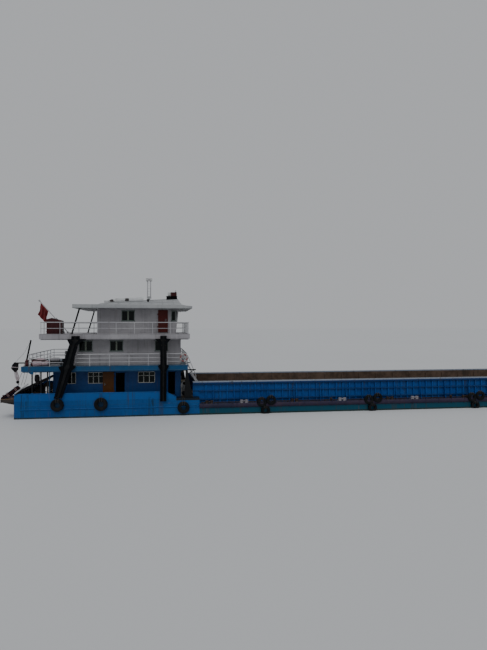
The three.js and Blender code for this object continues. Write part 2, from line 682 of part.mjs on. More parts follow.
// Stern fittings: tank, slanted canopy and davit
function buildSternFittings() {
  const foot = BRIDGE_DECK + GAP;
  const tank = [[2.3, foot], [3.45, foot], [3.45, 9.95], [2.6, 10.18], [2.3, 10.1]];
  add("deck_tank", shaped(tank, [-4.6, -3.5]), DOOR_RED);

  const canopyHead = STOREYS[0].aft - GAP;
  const canopyFoot = BULWARK_TOP + GAP;
  const slope = [
    [0, canopyFoot], [0.3, canopyFoot], [canopyHead, 5.33], [canopyHead, 5.65], [0, canopyFoot + 0.16]];
  add("stern_canopy", shaped(slope, [-4.9, 4.9]), CANVAS);

  const davitAt = [-4.45, -4.35];
  const pole = [[0.64, 6.5], [0.74, 6.5], [1.12, 8.45], [1.04, 8.45]];
  const hoist = [[-0.38, 6.22], [-0.1, 5.88], [0.1, 6.1], [0.14, 6.6], [-0.14, 6.7], [-0.3, 6.5]];
  add("stern_davit", join(
    block([at(0.62), at(0.76)], davitAt, [BOAT_DECK + GAP, 6.72]),
    block([at(-0.2), at(0.7)], davitAt, [6.58, 6.68]),
    shaped(pole, davitAt), shaped(hoist, [-4.6, -4.2])), RUBBER);
}

// Anchor windlass on the foredeck
function buildWindlass() {
  const cheeks = [-0.85, 0.75].map((y) => block(
    [at(51.3), at(51.9)], [y, y + 0.1], [FORE_DECK + GAP, FORE_DECK + 0.95]));
  const base = block([at(51.2), at(52.0)], [-0.95, 0.95], [FORE_DECK + GAP, FORE_DECK + 0.12]);
  const gearbox = block([at(51.25), at(51.95)], [0.8, 1.2], [FORE_DECK + 0.05, FORE_DECK + 0.75]);
  add("windlass_frame", join(base, gearbox, ...cheeks), STEEL);
  const end = 0.75 - GAP;
  const half = [[0.2, 0.68], [0.36, 0.68], [0.36, end], [0, end]];
  const mirrored = half.map(([radius, y]) => [radius, -y]).reverse();
  const profile = [...mirrored, ...half].map(([radius, y]) => new THREE.Vector2(radius, y));
  add("windlass_drum", new THREE.LatheGeometry(profile, 20), STEEL, [at(51.6), 0, FORE_DECK + 0.6]);
}

// Propellers and rudders
function propeller(hand) {
  const hubProfile = [[0, -0.5], [0.1, -0.46], [0.18, -0.3], [0.2, 0], [0, 0]]
    .map(([radius, x]) => new THREE.Vector2(radius, x));
  const hub = new THREE.LatheGeometry(hubProfile, 12).rotateZ(-Math.PI / 2);
  const bladeOutline = [
    [-0.1, 0.1], [0.1, 0.1], [0.24, 0.42], [0.17, 0.66], [0, 0.75], [-0.17, 0.66], [-0.24, 0.42],
  ];
  const blades = [0, 1, 2, 3].map((quarter) => crossPlate(bladeOutline, [-0.025, 0.025])
    .rotateZ(hand * 0.6).translate(-0.2, 0, 0).rotateX((quarter * Math.PI) / 2));
  return join(hub, ...blades);
}

function rudder() {
  const section = [
    [-1.2, -0.015], [-0.2, -0.08], [0.25, -0.06], [0.4, 0], [0.25, 0.06], [-0.2, 0.08], [-1.2, 0.015],
  ];
  return join(deckPlate(section, [0.2, 1.7]), post(STOCK_RADIUS, [1.6, RUN_LEVEL - GAP], [0, 0]));
}

function buildSterngear() {
  for (const [name, side] of SIDES) {
    const y = side * SHAFT_OUT;
    add(`propeller_${name}`, propeller(side), BRONZE, [at(PROPELLER_FACE) - GAP, y, SHAFT_LEVEL]);
    add(`rudder_${name}`, rudder(), BLUE, [at(RUDDER_STOCK), y, 0]);
  }
}

buildHull();
buildBulwarks();
buildCoamings();
buildRubRails();
buildFenderColumns();
STOREYS.forEach(buildStorey);
buildDoors();
buildDecks();
buildRoof();
buildRailings();
buildLadders();
buildMast();
buildFlag();
buildSternFittings();
buildWindlass();
buildSterngear();

export default ship;
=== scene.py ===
"""Looks of the river barge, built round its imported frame.

Shapes are drawn in metres of the full-size ship: u runs forward from the transom, y to port and z up
from the flat bottom. The model is half that size, so place() turns a ship point into a model point.
"""

import math

import bmesh
import bpy
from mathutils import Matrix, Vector


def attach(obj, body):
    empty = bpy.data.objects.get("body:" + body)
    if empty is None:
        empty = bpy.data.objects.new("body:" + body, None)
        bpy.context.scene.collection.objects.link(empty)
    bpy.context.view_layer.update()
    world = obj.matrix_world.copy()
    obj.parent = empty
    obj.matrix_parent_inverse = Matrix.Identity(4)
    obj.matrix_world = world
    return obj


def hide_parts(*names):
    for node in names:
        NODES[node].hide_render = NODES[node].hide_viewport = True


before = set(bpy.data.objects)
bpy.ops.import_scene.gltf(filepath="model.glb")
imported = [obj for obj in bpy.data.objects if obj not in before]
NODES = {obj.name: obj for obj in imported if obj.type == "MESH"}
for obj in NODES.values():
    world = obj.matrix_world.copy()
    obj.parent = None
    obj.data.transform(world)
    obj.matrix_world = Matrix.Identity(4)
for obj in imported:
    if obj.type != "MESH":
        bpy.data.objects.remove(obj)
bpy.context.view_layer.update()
SIDES = (("port", 1), ("starboard", -1))
UP, FORWARD = Vector((0, 0, 1)), Vector((1, 0, 0))

# Half-size model of a 56 m ship
MODEL_SCALE = 0.5
MIDSHIP = 28.0

# Breadths and levels of the ship, as the frame has them
HALF_BEAM = 5.2
HOLD_HALF = 4.03
WATERLINE = 2.3
SIDE_DECK = 3.1
MAIN_DECK = 3.69
FORE_DECK = 3.95
BULWARK_TOP = 4.24
COAMING_TOP = 4.95
BOAT_DECK = 6.39
BRIDGE_DECK = 8.93
DECK_SLAB = 0.4
EAVE = 10.99
STERN_END = 14.4
BOW_START = 49.0
BOW_REACH = 7.0
HOLD_FLOOR = 0.9
# Outermost face of the fender columns and tyres
FENDER_OUT = 5.46
# Single tyres at the stern: from transom, level, radius
STERN_TYRES = ((3.24, 3.36, 0.5), (6.56, 3.36, 0.52), (13.08, 2.95, 0.48))


def place(u, y, z):
    """A ship point in metres of the model, in the frame's axes."""
    return Vector(((u - MIDSHIP) * MODEL_SCALE, y * MODEL_SCALE, z * MODEL_SCALE))


def steps(first, last, pitch):
    """Evenly spaced values from first to last, about a pitch apart."""
    count = max(1, round((last - first) / pitch))
    return [first + (last - first) * i / count for i in range(count + 1)]


def across(side, inner, outer):
    """A range across the ship, mirrored for the starboard side."""
    return (inner, outer) if side > 0 else (-outer, -inner)


def around(middle, half):
    """A range to both sides of a middle."""
    return middle - half, middle + half


def angles(turns):
    """Equal steps once round a circle."""
    return [2 * math.pi * i / turns for i in range(turns)]


def spokes(axis, turns):
    """Unit vectors once round an axis."""
    axis = Vector(axis).normalized()
    first = axis.orthogonal().normalized()
    second = axis.cross(first)
    return [math.cos(a) * first + math.sin(a) * second for a in angles(turns)]


# Corner numbers of a block, four to a face
BLOCK_FACES = ((0, 1, 3, 2), (4, 6, 7, 5), (0, 4, 5, 1), (2, 3, 7, 6), (0, 2, 6, 4), (1, 5, 7, 3))


class Kit:
    """Many small shapes that become one joined mesh."""

    def __init__(self, paint, u=0.0, y=0.0, z=0.0):
        self.points, self.faces, self.face_paint, self.paints = [], [], [], []
        self.use(paint)
        self.start(u, y, z)

    def use(self, paint):
        """Shapes added from here on take this material."""
        if paint not in self.paints:
            self.paints.append(paint)
        self.current = self.paints.index(paint)
        return self

    def start(self, u=0.0, y=0.0, z=0.0):
        """Shapes added from here on are measured from this point."""
        self.origin = Vector((u, y, z))

    def add(self, points, faces):
        first = len(self.points)
        self.points.extend(self.origin + Vector(p) for p in points)
        self.faces.extend([first + i for i in face] for face in faces)
        self.face_paint.extend([self.current] * len(faces))

    def loft(self, points, sides, closed=False):
        """A skin over rings of as many points as it has sides, with end caps unless it closes."""
        count = len(points) // sides
        faces = [(row * sides + k, row * sides + (k + 1) % sides,
                  (row + 1) % count * sides + (k + 1) % sides, (row + 1) % count * sides + k)
                 for row in range(count if closed else count - 1) for k in range(sides)]
        if not closed:
            faces += [range(sides), range((count - 1) * sides, count * sides)]
        self.add(points, faces)

    def block(self, u, y, z):
        """A block between two values on each axis."""
        self.add([(a, b, c) for a in u for b in y for c in z], BLOCK_FACES)

    def beam(self, start, end, wide, deep, up=UP):
        """A rectangular bar between two points, deep along up and wide across it."""
        start, end = Vector(start), Vector(end)
        along = (end - start).normalized()
        aside = along.cross(Vector(up)).normalized() * wide / 2
        rise = aside.cross(along).normalized() * deep / 2
        self.add([p + a * aside + r * rise for p in (start, end) for a in (-1, 1) for r in (-1, 1)],
                 BLOCK_FACES)

    def tube(self, path, radius, sides=8, closed=False):
        """A round tube along a path. radius is one value, or one for each point."""
        path = [Vector(p) for p in path]
        count = len(path)
        radii = radius if isinstance(radius, (list, tuple)) else [radius] * count
        points = []
        rise = None
        for i, centre in enumerate(path):
            before = path[i - 1] if i > 0 or closed else centre
            after = path[(i + 1) % count] if i + 1 < count or closed else centre
            along = (after - before).normalized()
            if rise is None:
                rise = along.orthogonal().normalized()
            rise = (rise - along * rise.dot(along)).normalized()
            aside = along.cross(rise)
            points += [centre + radii[i] * (math.cos(a) * rise + math.sin(a) * aside) for a in angles(sides)]
        self.loft(points, sides, closed)

    def ring(self, centre, axis, radius, thick, turns=24, sides=8):
        """A round bar bent into a circle about an axis."""
        path = [Vector(centre) + radius * spoke for spoke in spokes(axis, turns)]
        self.tube(path, thick, sides, closed=True)

    def lathe(self, centre, turns, profile, axis=UP):
        """A turned shape. profile lists radius and distance along the axis, from end to end."""
        closed = profile[0] == profile[-1]
        along = Vector(axis).normalized()
        points = [Vector(centre) + far * along + radius * spoke for radius, far in profile
                  for spoke in spokes(axis, turns)]
        self.loft(points[:-turns] if closed else points, turns, closed)

    def sack(self, centre, half, turn=0.0, phase=0.0, rows=9, turns=18):
        """A slumped sack: boxy and creased, round above and flatter below. turn is its heading."""
        def boxy(value):
            return math.copysign(abs(value) ** 0.7, value)

        points = []
        for i in range(rows):
            rise = math.radians(-75 + 150 * i / (rows - 1))
            for a in angles(turns):
                swell = 1 + 0.07 * math.sin(3 * a + phase + 2 * rise) + 0.05 * math.sin(5 * a - 2 * phase)
                spread = math.cos(rise) ** 0.6 * swell
                along = half[0] * spread * boxy(math.cos(a))
                aside = half[1] * spread * boxy(math.sin(a))
                level = half[2] * max(-0.8, math.sin(rise)) * (1 + 0.1 * math.sin(2 * a + phase))
                points.append((centre[0] + along * math.cos(turn) - aside * math.sin(turn),
                               centre[1] + along * math.sin(turn) + aside * math.cos(turn),
                               centre[2] + level))
        self.loft(points, turns)

    def plate(self, outline, thick, axis="y"):
        """A flat plate between two values of an axis. The outline leaves that axis out."""
        order = {"u": (2, 0, 1), "y": (0, 2, 1), "z": (0, 1, 2)}[axis]
        self.loft([[(*spot, t)[i] for i in order] for t in thick for spot in outline], len(outline))

    def piece(self, name, slot, body="root", replaces=(), soften=0.0, smooth=40):
        """The joined mesh in the scene, riding on a body, with its edges softened."""
        mesh = bpy.data.meshes.new(name)
        mesh.from_pydata([place(*p) for p in self.points], [], self.faces)
        for paint in self.paints:
            mesh.materials.append(paint)
        mesh.polygons.foreach_set("material_index", self.face_paint)
        tidy = bmesh.new()
        tidy.from_mesh(mesh)
        bmesh.ops.recalc_face_normals(tidy, faces=tidy.faces)
        tidy.to_mesh(mesh)
        tidy.free()
        mesh.shade_smooth()
        mesh.set_sharp_from_angle(angle=math.radians(smooth))
        obj = bpy.data.objects.new(name, mesh)
        bpy.context.scene.collection.objects.link(obj)
        if soften:
            bevel = obj.modifiers.new("soft_edges", "BEVEL")
            bevel.width = soften
            bevel.segments = 1
            bevel.limit_method = "ANGLE"
            bevel.angle_limit = math.radians(50)
        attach(obj, body)
        if replaces:
            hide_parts(*replaces)
        return obj


class Paint:
    """One procedural material. Positions in it are in metres of the ship."""

    def __init__(self, name, metal=0.0, shine=0.5):
        self.material = bpy.data.materials.new(name)
        self.material.use_nodes = True
        self.tree = self.material.node_tree
        self.shader = self.tree.nodes["Principled BSDF"]
        self.shader.inputs["Metallic"].default_value = metal
        self.shader.inputs["Specular IOR Level"].default_value = shine
        self.where = self.node("Mapping", Vector=self.node("TexCoord").outputs["Object"],
                               Scale=[1 / MODEL_SCALE] * 3, Location=(MIDSHIP, 0, 0)).outputs[0]
        self.u, self.y, self.z = self.node("SeparateXYZ", Vector=self.where).outputs
        self.height = None

    def node(self, kind, **inputs):
        """A shader node. Its inputs are named with underscores for spaces."""
        made = self.tree.nodes.new("ShaderNode" + kind)
        for name, value in inputs.items():
            self.plug(made.inputs[name.replace("_", " ")], value)
        return made

    def plug(self, socket, value):
        if isinstance(value, bpy.types.NodeSocket):
            self.tree.links.new(value, socket)
        else:
            socket.default_value = value

    def math(self, operation, a, b=0.0):
        made = self.node("Math")
        made.operation = operation
        self.plug(made.inputs[0], a)
        self.plug(made.inputs[1], b)
        return made.outputs[0]

    def plus(self, a, b):
        return self.math("ADD", a, b)

    def minus(self, a, b):
        return self.math("SUBTRACT", a, b)

    def times(self, first, *others):
        for other in others:
            first = self.math("MULTIPLY", first, other)
        return first

    def noise(self, scale, detail=4.0, rough=0.55, stretch=(1, 1, 1)):
        """Cloudy noise from 0 to 1. scale is spots per metre, stretch its share on each axis."""
        spread = self.node("Mapping", Vector=self.where, Scale=[scale * s for s in stretch])
        return self.node("TexNoise", Vector=spread.outputs[0], Scale=1.0, Detail=detail,
                         Roughness=rough).outputs["Fac"]

    def ramp(self, value, low, high):
        """0 below low and 1 above high. With low above high it falls."""
        rising = low < high
        made = self.node("MapRange", Value=value, From_Min=min(low, high), From_Max=max(low, high),
                         To_Min=float(not rising), To_Max=float(rising))
        made.interpolation_type = "SMOOTHSTEP"
        return made.outputs[0]

    def between(self, value, low, high, soft=0.004):
        """1 between two values, with soft edges."""
        rise = self.ramp(value, low - soft, low + soft)
        return self.times(rise, self.ramp(value, high + soft, high - soft))

    def facing_up(self):
        normal = self.node("NewGeometry").outputs["Normal"]
        return self.ramp(self.node("SeparateXYZ", Vector=normal).outputs[2], 0.6, 0.8)

    def mix(self, share, under, over):
        made = self.node("Mix")
        made.data_type = "RGBA"
        self.plug(made.inputs[0], share)
        for index, value in ((6, under), (7, over)):
            self.plug(made.inputs[index], value if isinstance(value, bpy.types.NodeSocket) else (*value, 1.0))
        return made.outputs[2]

    def dent(self, value, depth):
        """Adds to the surface's relief, depth in metres of the ship."""
        raised = self.times(value, depth * MODEL_SCALE)
        self.height = raised if self.height is None else self.plus(self.height, raised)

    def finish(self, color, rough):
        self.plug(self.shader.inputs["Base Color"], color)
        self.plug(self.shader.inputs["Roughness"], rough)
        if self.height is not None:
            bump = self.node("Bump", Height=self.height, Distance=1.0, Strength=1.0)
            self.plug(self.shader.inputs["Normal"], bump.outputs[0])
        return self.material


def darker(color, share):
    return tuple(share * c for c in color)


RUST, DARK_RUST, GRIME = (0.16, 0.055, 0.02), (0.06, 0.024, 0.014), (0.03, 0.03, 0.026)
# Length and height of a shell plate, and half widths and depth of the weld bead round it
PLATE_LONG, PLATE_HIGH = 1.8, 1.1
BEAD_FOOT, BEAD_TOP, BEAD_DEEP = 0.03, 0.008, 0.004
# Radians in one thread of a weave
THREAD_TURN = 6.283


def weathered(name, color, fade, rust, streaks, rough=0.45, zones=(), over=(), metal=0.0, dents=0.012,
              shine=0.2):
    """Old ship's paint: patchy, streaked by rain, rusting at random and slightly dented.

    rust and streaks are shares from 0 to 1. zones and over are functions that take the paint and its
    colour so far and give the colour back, zones under the dirt and rust, over on top of them.
    """
    p = Paint(name, metal, shine)
    patches = p.noise(0.55, 5.0, 0.6)
    mottle = p.noise(4.5, 6.0, 0.65)
    tone = p.mix(p.ramp(patches, 0.3, 0.72), color, fade)
    tone = p.mix(p.times(p.ramp(mottle, 0.45, 0.75), 0.55), tone, darker(color, 0.72))
    for zone in zones:
        tone = zone(p, tone)
    runs = p.noise(1.0, 5.0, 0.6, stretch=(4.5, 4.5, 0.28))
    tone = p.mix(p.times(p.ramp(runs, 0.52, 0.72), p.ramp(patches, 0.2, 0.6), streaks), tone, GRIME)
    rusty = p.ramp(p.noise(2.3, 9.0, 0.72), 0.66 - 0.06 * rust, 0.74 - 0.04 * rust)
    bleed = p.noise(1.0, 4.0, 0.5, stretch=(7.0, 7.0, 0.5))
    tone = p.mix(p.times(p.ramp(bleed, 0.64 - 0.05 * rust, 0.78), 0.5 * rust + 0.1), tone, RUST)
    tone = p.mix(p.times(rusty, min(1.0, 0.5 + rust)), tone, p.mix(mottle, RUST, DARK_RUST))
    for zone in over:
        tone = zone(p, tone)
    p.dent(p.noise(0.9, 2.0), dents)
    p.dent(p.noise(14.0, 3.0), 0.0016)
    p.dent(rusty, 0.003)
    gloss = p.plus(p.times(p.ramp(mottle, 0.25, 0.8), 0.25), rough - 0.1)
    return p.finish(tone, p.math("MAXIMUM", gloss, p.times(rusty, 0.85)))


def plate_seams(p, tone):
    """Weld beads between shell plates."""
    for value, gap in ((p.u, PLATE_LONG), (p.z, PLATE_HIGH)):
        phase = p.math("FRACT", p.math("DIVIDE", value, gap))
        aside = p.math("ABSOLUTE", p.minus(phase, 0.5))
        bead = p.ramp(aside, 0.5 - BEAD_FOOT / gap, 0.5 - BEAD_TOP / gap)
        p.dent(bead, BEAD_DEEP)
        tone = p.mix(p.times(bead, 0.22), tone, GRIME)
    return tone


def level_zone(low, high, color, share=1.0, soft=0.015, wobble=0.0):
    """Another colour between two levels."""
    def zone(p, tone):
        level = p.z
        if wobble:
            level = p.plus(level, p.times(p.minus(p.noise(1.3, 5.0), 0.5), wobble))
        return p.mix(p.times(p.between(level, low, high, soft), share), tone, color)
    return zone


def top_zone(color, share=1.0):
    """Another colour on the faces that look up."""
    def zone(p, tone):
        worn = p.mix(p.ramp(p.noise(1.6, 7.0, 0.65), 0.35, 0.7), color, darker(color, 0.55))
        return p.mix(p.times(p.facing_up(), share), tone, worn)
    return zone


def stain_zone(centre, half, low, high):
    """Broken dirty runs down the side between two levels."""
    def zone(p, tone):
        wander = p.times(p.minus(p.noise(1.4, 3.0), 0.5), 0.3)
        aside = p.math("ABSOLUTE", p.plus(p.minus(p.u, centre), wander))
        broken = p.ramp(p.noise(1.0, 3.0, 0.5, stretch=(6.0, 6.0, 0.35)), 0.36, 0.62)
        run = p.times(p.ramp(aside, half, 0.4 * half), p.between(p.z, low, high, 0.2), broken, 0.75)
        return p.mix(run, tone, (0.003, 0.02, 0.032))
    return zone


def scuffs(p, tone):
    """Rubbed dark patches behind the single tyres."""
    for u, level, radius in STERN_TYRES:
        squares = [p.math("POWER", p.minus(value, middle), 2.0) for value, middle in ((p.u, u), (p.z, level))]
        near = p.ramp(p.math("SQRT", p.plus(*squares)), radius * 1.02, radius * 0.75)
        tone = p.mix(p.times(near, 0.8), tone, (0.002, 0.018, 0.035))
    return tone


def part_zone(color, aft, fore, low, high, room_half=None):
    """Another colour between two places along the ship and two levels.

    With the half breadth of a room it is the worn colour of the inside of a hold or a house.
    """
    def zone(p, tone):
        share = p.times(p.between(p.u, aft, fore), p.between(p.z, low, high))
        if room_half is None:
            return p.mix(share, tone, color)
        worn = p.mix(p.ramp(p.noise(1.1, 8.0, 0.7), 0.35, 0.65), color, darker(color, 0.5))
        within = p.ramp(p.math("ABSOLUTE", p.y), room_half + 0.01, room_half - 0.01)
        return p.mix(p.times(share, within), tone, worn)
    return zone


ANTIFOULING = (0.1, 0.028, 0.022)
UNDERWATER = (
    level_zone(-1.0, WATERLINE, ANTIFOULING, wobble=0.02),
    level_zone(-1.0, 1.6, darker(ANTIFOULING, 0.6), share=0.5, soft=0.5, wobble=0.9),
    level_zone(WATERLINE - 0.06, WATERLINE + 0.12, (0.012, 0.028, 0.022), share=0.9, soft=0.04, wobble=0.06))
# Colours of the large parts and of what has faded
BLACK = (0.003, 0.0035, 0.0045)
HULL = (0.001, 0.054, 0.2), (0.003, 0.072, 0.235)
HOLD = (0.002, 0.055, 0.24), (0.004, 0.07, 0.27)
# Dark blue of painted shade under the coaming's rim and stringers
SHADE_BLUE = (0.001, 0.017, 0.075)
# Level where the white rim of the coaming starts
RIM_LOW = 4.85
STAINS = ((0.62, 0.16, 2.4, 4.3), (0.98, 0.14, 2.5, 4.2), (10.3, 0.22, 2.3, 3.8), (10.65, 0.12, 2.5, 3.7))

inside_hold = part_zone((0.11, 0.075, 0.055), STERN_END - 0.04, 48.72, HOLD_FLOOR - 0.02, RIM_LOW,
                        room_half=HOLD_HALF + 0.02)
hull_paint = weathered("hull_blue", *HULL, 0.35, 0.5, zones=(
    level_zone(MAIN_DECK, 6.0, (0.003, 0.078, 0.28), share=0.75),
    # Painted shade: black on the hull-blue parts under the boat deck at the stern, above the bulwark
    part_zone(BLACK, 1.22, 2.75, BULWARK_TOP + 0.08, 6.1),
    plate_seams, top_zone((0.11, 0.12, 0.125)), *UNDERWATER, inside_hold), over=(
    part_zone((0.005, 0.01, 0.018), 12.5, 14.5, 3.52, 3.75),
    *(stain_zone(*row) for row in STAINS), scuffs))
strip_paint = weathered("strip_blue", *HULL, 0.1, 0.3)
deck_paint = weathered("deck_edge_blue", (0.006, 0.055, 0.14), (0.01, 0.066, 0.16), 0.3, 0.5, zones=(
    top_zone((0.09, 0.14, 0.19)),), over=(part_zone(BLACK, 13.0, 14.0, 3.0, BOAT_DECK - DECK_SLAB - 0.02),))
hold_paint = weathered("hold_blue", *HOLD, 0.3, 0.5, zones=(
    plate_seams, level_zone(WATERLINE, 2.86, (0.006, 0.055, 0.075), share=0.9, wobble=0.05),
    top_zone((0.075, 0.06, 0.055)), *UNDERWATER, inside_hold))
coaming_paint = weathered("coaming_blue", *HOLD, 0.25, 0.6, zones=(
    level_zone(RIM_LOW, 5.2, (0.24, 0.28, 0.345), share=0.95), top_zone((0.13, 0.13, 0.135), share=0.8),
    # Painted shade: a dark band under the white rim, and dark bands under the two stringers
    level_zone(COAMING_TOP - 0.3, RIM_LOW - 0.01, SHADE_BLUE, share=0.8),
    level_zone(4.05, 4.19, SHADE_BLUE, share=0.55), level_zone(3.36, 3.5, SHADE_BLUE, share=0.55), inside_hold))
house_paint = weathered("house_dark_blue", (0.004, 0.035, 0.14), (0.006, 0.045, 0.16), 0.15, 0.3, zones=(
    part_zone((0.42, 0.4, 0.34), 2.8, 12.8, 3.0, 7.0, room_half=3.95),))
roof_paint = weathered("roof_grey", (0.345, 0.355, 0.36), (0.28, 0.29, 0.3), 0.05, 0.25, 0.55, over=(
    part_zone(BLACK, 4.2, 5.0, BRIDGE_DECK - 0.1, EAVE - 0.01),))

# Name, colour, faded colour, shares of rust and of streaks
white_paint = weathered("house_white", (0.325, 0.317, 0.332), (0.235, 0.228, 0.242), 0.1, 0.32, 0.5)
rail_paint = weathered("rail_white", (0.43, 0.43, 0.44), (0.31, 0.31, 0.33), 0.3, 0.3)
bitt_white = weathered("bitt_white", (0.27, 0.26, 0.28), (0.18, 0.17, 0.19), 0.4, 0.4)
window_frame_paint = weathered("window_frame", (0.42, 0.43, 0.4), (0.3, 0.3, 0.28), 0.25, 0.3)
dark_frame_paint = weathered("dark_window_frame", (0.1, 0.13, 0.12), (0.14, 0.17, 0.155), 0.1, 0.2)
mullion_paint = weathered("mullion", (0.16, 0.185, 0.15), (0.12, 0.14, 0.12), 0.1, 0.3)
rub_paint = weathered("rub_red", (0.02, 0.02, 0.045), (0.04, 0.026, 0.05), 0.3, 0.6, 0.65)
orange_paint = weathered("door_orange", (0.088, 0.03, 0.003), (0.066, 0.022, 0.003), 0.2, 0.3)
red_paint = weathered("door_red", (0.07, 0.006, 0.004), (0.055, 0.006, 0.004), 0.2, 0.3)
tank_paint = weathered("tank_red", (0.045, 0.007, 0.008), (0.034, 0.007, 0.008), 0.2, 0.3)
beam_red = weathered("beam_red", (0.03, 0.008, 0.01), (0.022, 0.009, 0.01), 0.35, 0.4, shine=0.05)
black_paint = weathered("black_steel", BLACK, (0.006, 0.007, 0.009), 0.12, 0.15, 0.6, shine=0.03)
brown_steel = weathered("brown_steel", (0.035, 0.023, 0.017), (0.025, 0.018, 0.014), 0.45, 0.3)
steel_paint = weathered("grey_steel", (0.2, 0.21, 0.22), (0.12, 0.12, 0.12), 0.6, 0.3, metal=0.5)
bronze_paint = weathered("bronze", (0.35, 0.22, 0.07), (0.16, 0.14, 0.07), 0.0, 0.4, 0.4, metal=0.9, dents=0)
board_paint = weathered("foam_board", (0.62, 0.63, 0.64), (0.5, 0.51, 0.5), 0.0, 0.3, dents=0.03)
buoy_red = weathered("buoy_red", (0.2, 0.06, 0.065), (0.26, 0.12, 0.125), 0.0, 0.3, dents=0.004)
buoy_white = weathered("buoy_white", (0.36, 0.33, 0.34), (0.26, 0.23, 0.24), 0.0, 0.3, dents=0.004)


def rubber():
    """Old tyre rubber, greyed by dust and ribbed by its tread."""
    p = Paint("old_rubber", shine=0.15)
    dust = p.noise(3.0, 7.0, 0.65)
    tone = p.mix(p.ramp(dust, 0.4, 0.7), (0.003, 0.004, 0.005), (0.011, 0.011, 0.012))
    tone = p.mix(p.times(p.facing_up(), 0.4), tone, (0.022, 0.021, 0.02))
    p.dent(p.noise(9.0, 5.0), 0.006)
    return p.finish(tone, p.plus(p.times(dust, 0.25), 0.62))


def timber(name, light, dark, grain):
    """Grey weathered planks. grain is the noise's stretch on each axis."""
    p = Paint(name)
    grain_lines = p.noise(5.0, 7.0, 0.65, stretch=grain)
    tone = p.mix(p.ramp(grain_lines, 0.35, 0.68), light, dark)
    tone = p.mix(p.times(p.ramp(p.noise(0.8), 0.45, 0.7), 0.5), tone, GRIME)
    p.dent(grain_lines, 0.004)
    return p.finish(tone, p.plus(p.times(grain_lines, 0.2), 0.65))


def cloth(name, light, dark, weave=90.0, sheen=0.2, shine=0.2):
    """Woven cloth with a fine weave and faded folds. weave is threads per metre."""
    p = Paint(name, shine=shine)
    threads = p.times(*(p.math("SINE", p.times(value, weave * THREAD_TURN)) for value in (p.u, p.z)))
    faded = p.noise(1.7, 6.0, 0.6)
    tone = p.mix(p.ramp(faded, 0.35, 0.7), light, dark)
    tone = p.mix(p.times(p.ramp(threads, -0.6, 0.9), 0.12), tone, darker(light, 0.5))
    p.dent(threads, 0.0012)
    p.dent(p.noise(6.0), 0.006)
    p.shader.inputs["Sheen Weight"].default_value = sheen
    return p.finish(tone, p.plus(p.times(faded, 0.15), 0.75))


def window_glass():
    """Dark dirty glass that lets a little of the inside show."""
    p = Paint("window_glass", shine=0.12)
    dirt = p.noise(2.2, 6.0, 0.6)
    tone = p.mix(p.ramp(dirt, 0.4, 0.75), (0.004, 0.008, 0.008), (0.01, 0.014, 0.013))
    p.shader.inputs["Transmission Weight"].default_value = 0.1
    p.shader.inputs["IOR"].default_value = 1.45
    return p.finish(tone, p.plus(p.times(p.ramp(dirt, 0.4, 0.8), 0.25), 0.06))


def lamp_glass(name, color):
    """Ribbed lamp glass."""
    p = Paint(name)
    ribs = p.math("SINE", p.times(p.z, 160.0))
    tone = p.mix(p.ramp(ribs, -1.0, 1.0), color, darker(color, 0.7))
    p.dent(ribs, 0.0015)
    return p.finish(tone, p.plus(p.times(ribs, 0.03), 0.14))


tyre_rubber = rubber()
dark_timber = timber("dark_timber", (0.035, 0.026, 0.021), (0.014, 0.011, 0.01), grain=(0.25, 6, 6))
plank_wood = timber("plank_wood", (0.19, 0.11, 0.055), (0.1, 0.06, 0.035), grain=(6, 0.25, 6))
canvas_cloth = cloth("black_tarpaulin", (0.005, 0.005, 0.007), (0.014, 0.013, 0.014), sheen=0.05, shine=0.1)
flag_cloth = cloth("flag_red", (0.15, 0.01, 0.012), (0.1, 0.008, 0.01), sheen=0.1)
dark_sacking = cloth("dark_sacking", (0.03, 0.028, 0.03), (0.06, 0.05, 0.045), 40.0)
pale_sacking = cloth("pale_sacking", (0.5, 0.4, 0.43), (0.36, 0.26, 0.29), 40.0)
maroon_sacking = cloth("maroon_sacking", (0.07, 0.012, 0.018), (0.045, 0.01, 0.014), 40.0)
brown_net = cloth("brown_netting", (0.03, 0.02, 0.014), (0.015, 0.012, 0.01), 25.0, shine=0.05)
old_rope = cloth("old_rope", (0.05, 0.045, 0.04), (0.025, 0.024, 0.022), 30.0)
rope_fibre = cloth("rope_fibre", (0.32, 0.27, 0.19), (0.2, 0.165, 0.11), 30.0)
pale_rope = cloth("pale_rope", (0.46, 0.4, 0.42), (0.34, 0.28, 0.29), 30.0)
faded_rope = cloth("faded_rope", (0.3, 0.2, 0.2), (0.2, 0.13, 0.13), 30.0)
glass = window_glass()
clear_lamp = lamp_glass("clear_lamp", (0.6, 0.62, 0.6))

# The frame's nodes that show, by the starts of their names, and their paints. The first that fits counts
NODE_PAINTS = (
    (("hull_side", "hull_bottom"), hold_paint), (("hull", "bulwark", "rudder"), hull_paint),
    (("coaming",), coaming_paint), (("boat_deck",), deck_paint), (("wheelhouse_roof",), roof_paint),
    (("bridge_deck", "cabin_wall", "wheelhouse_wall"), white_paint), (("house_wall",), house_paint),
    (("fore_ladder", "aft_ladder", "mast", "flagstaff"), rail_paint), (("deck_tank",), tank_paint),
    (("house_door",), orange_paint), (("wheelhouse_door",), red_paint), (("propeller",), bronze_paint),
    (("windlass",), steel_paint))
for node_name, node in NODES.items():
    for paint in [paint for starts, paint in NODE_PAINTS if node_name.startswith(starts)][:1]:
        node.data.materials.clear()
        node.data.materials.append(paint)


# Rub rails: a flat strip at the stern in the hull's colour, half-round bars on brackets along the hold
RUB_STRETCHES = (
    # paint, aft end, fore end, low, high, depth
    (strip_paint, 0.4, STERN_END, 2.97, 3.06, 0.04),
    (rub_paint, STERN_END - 0.02, BOW_START, 2.86, 3.2, 0.12))
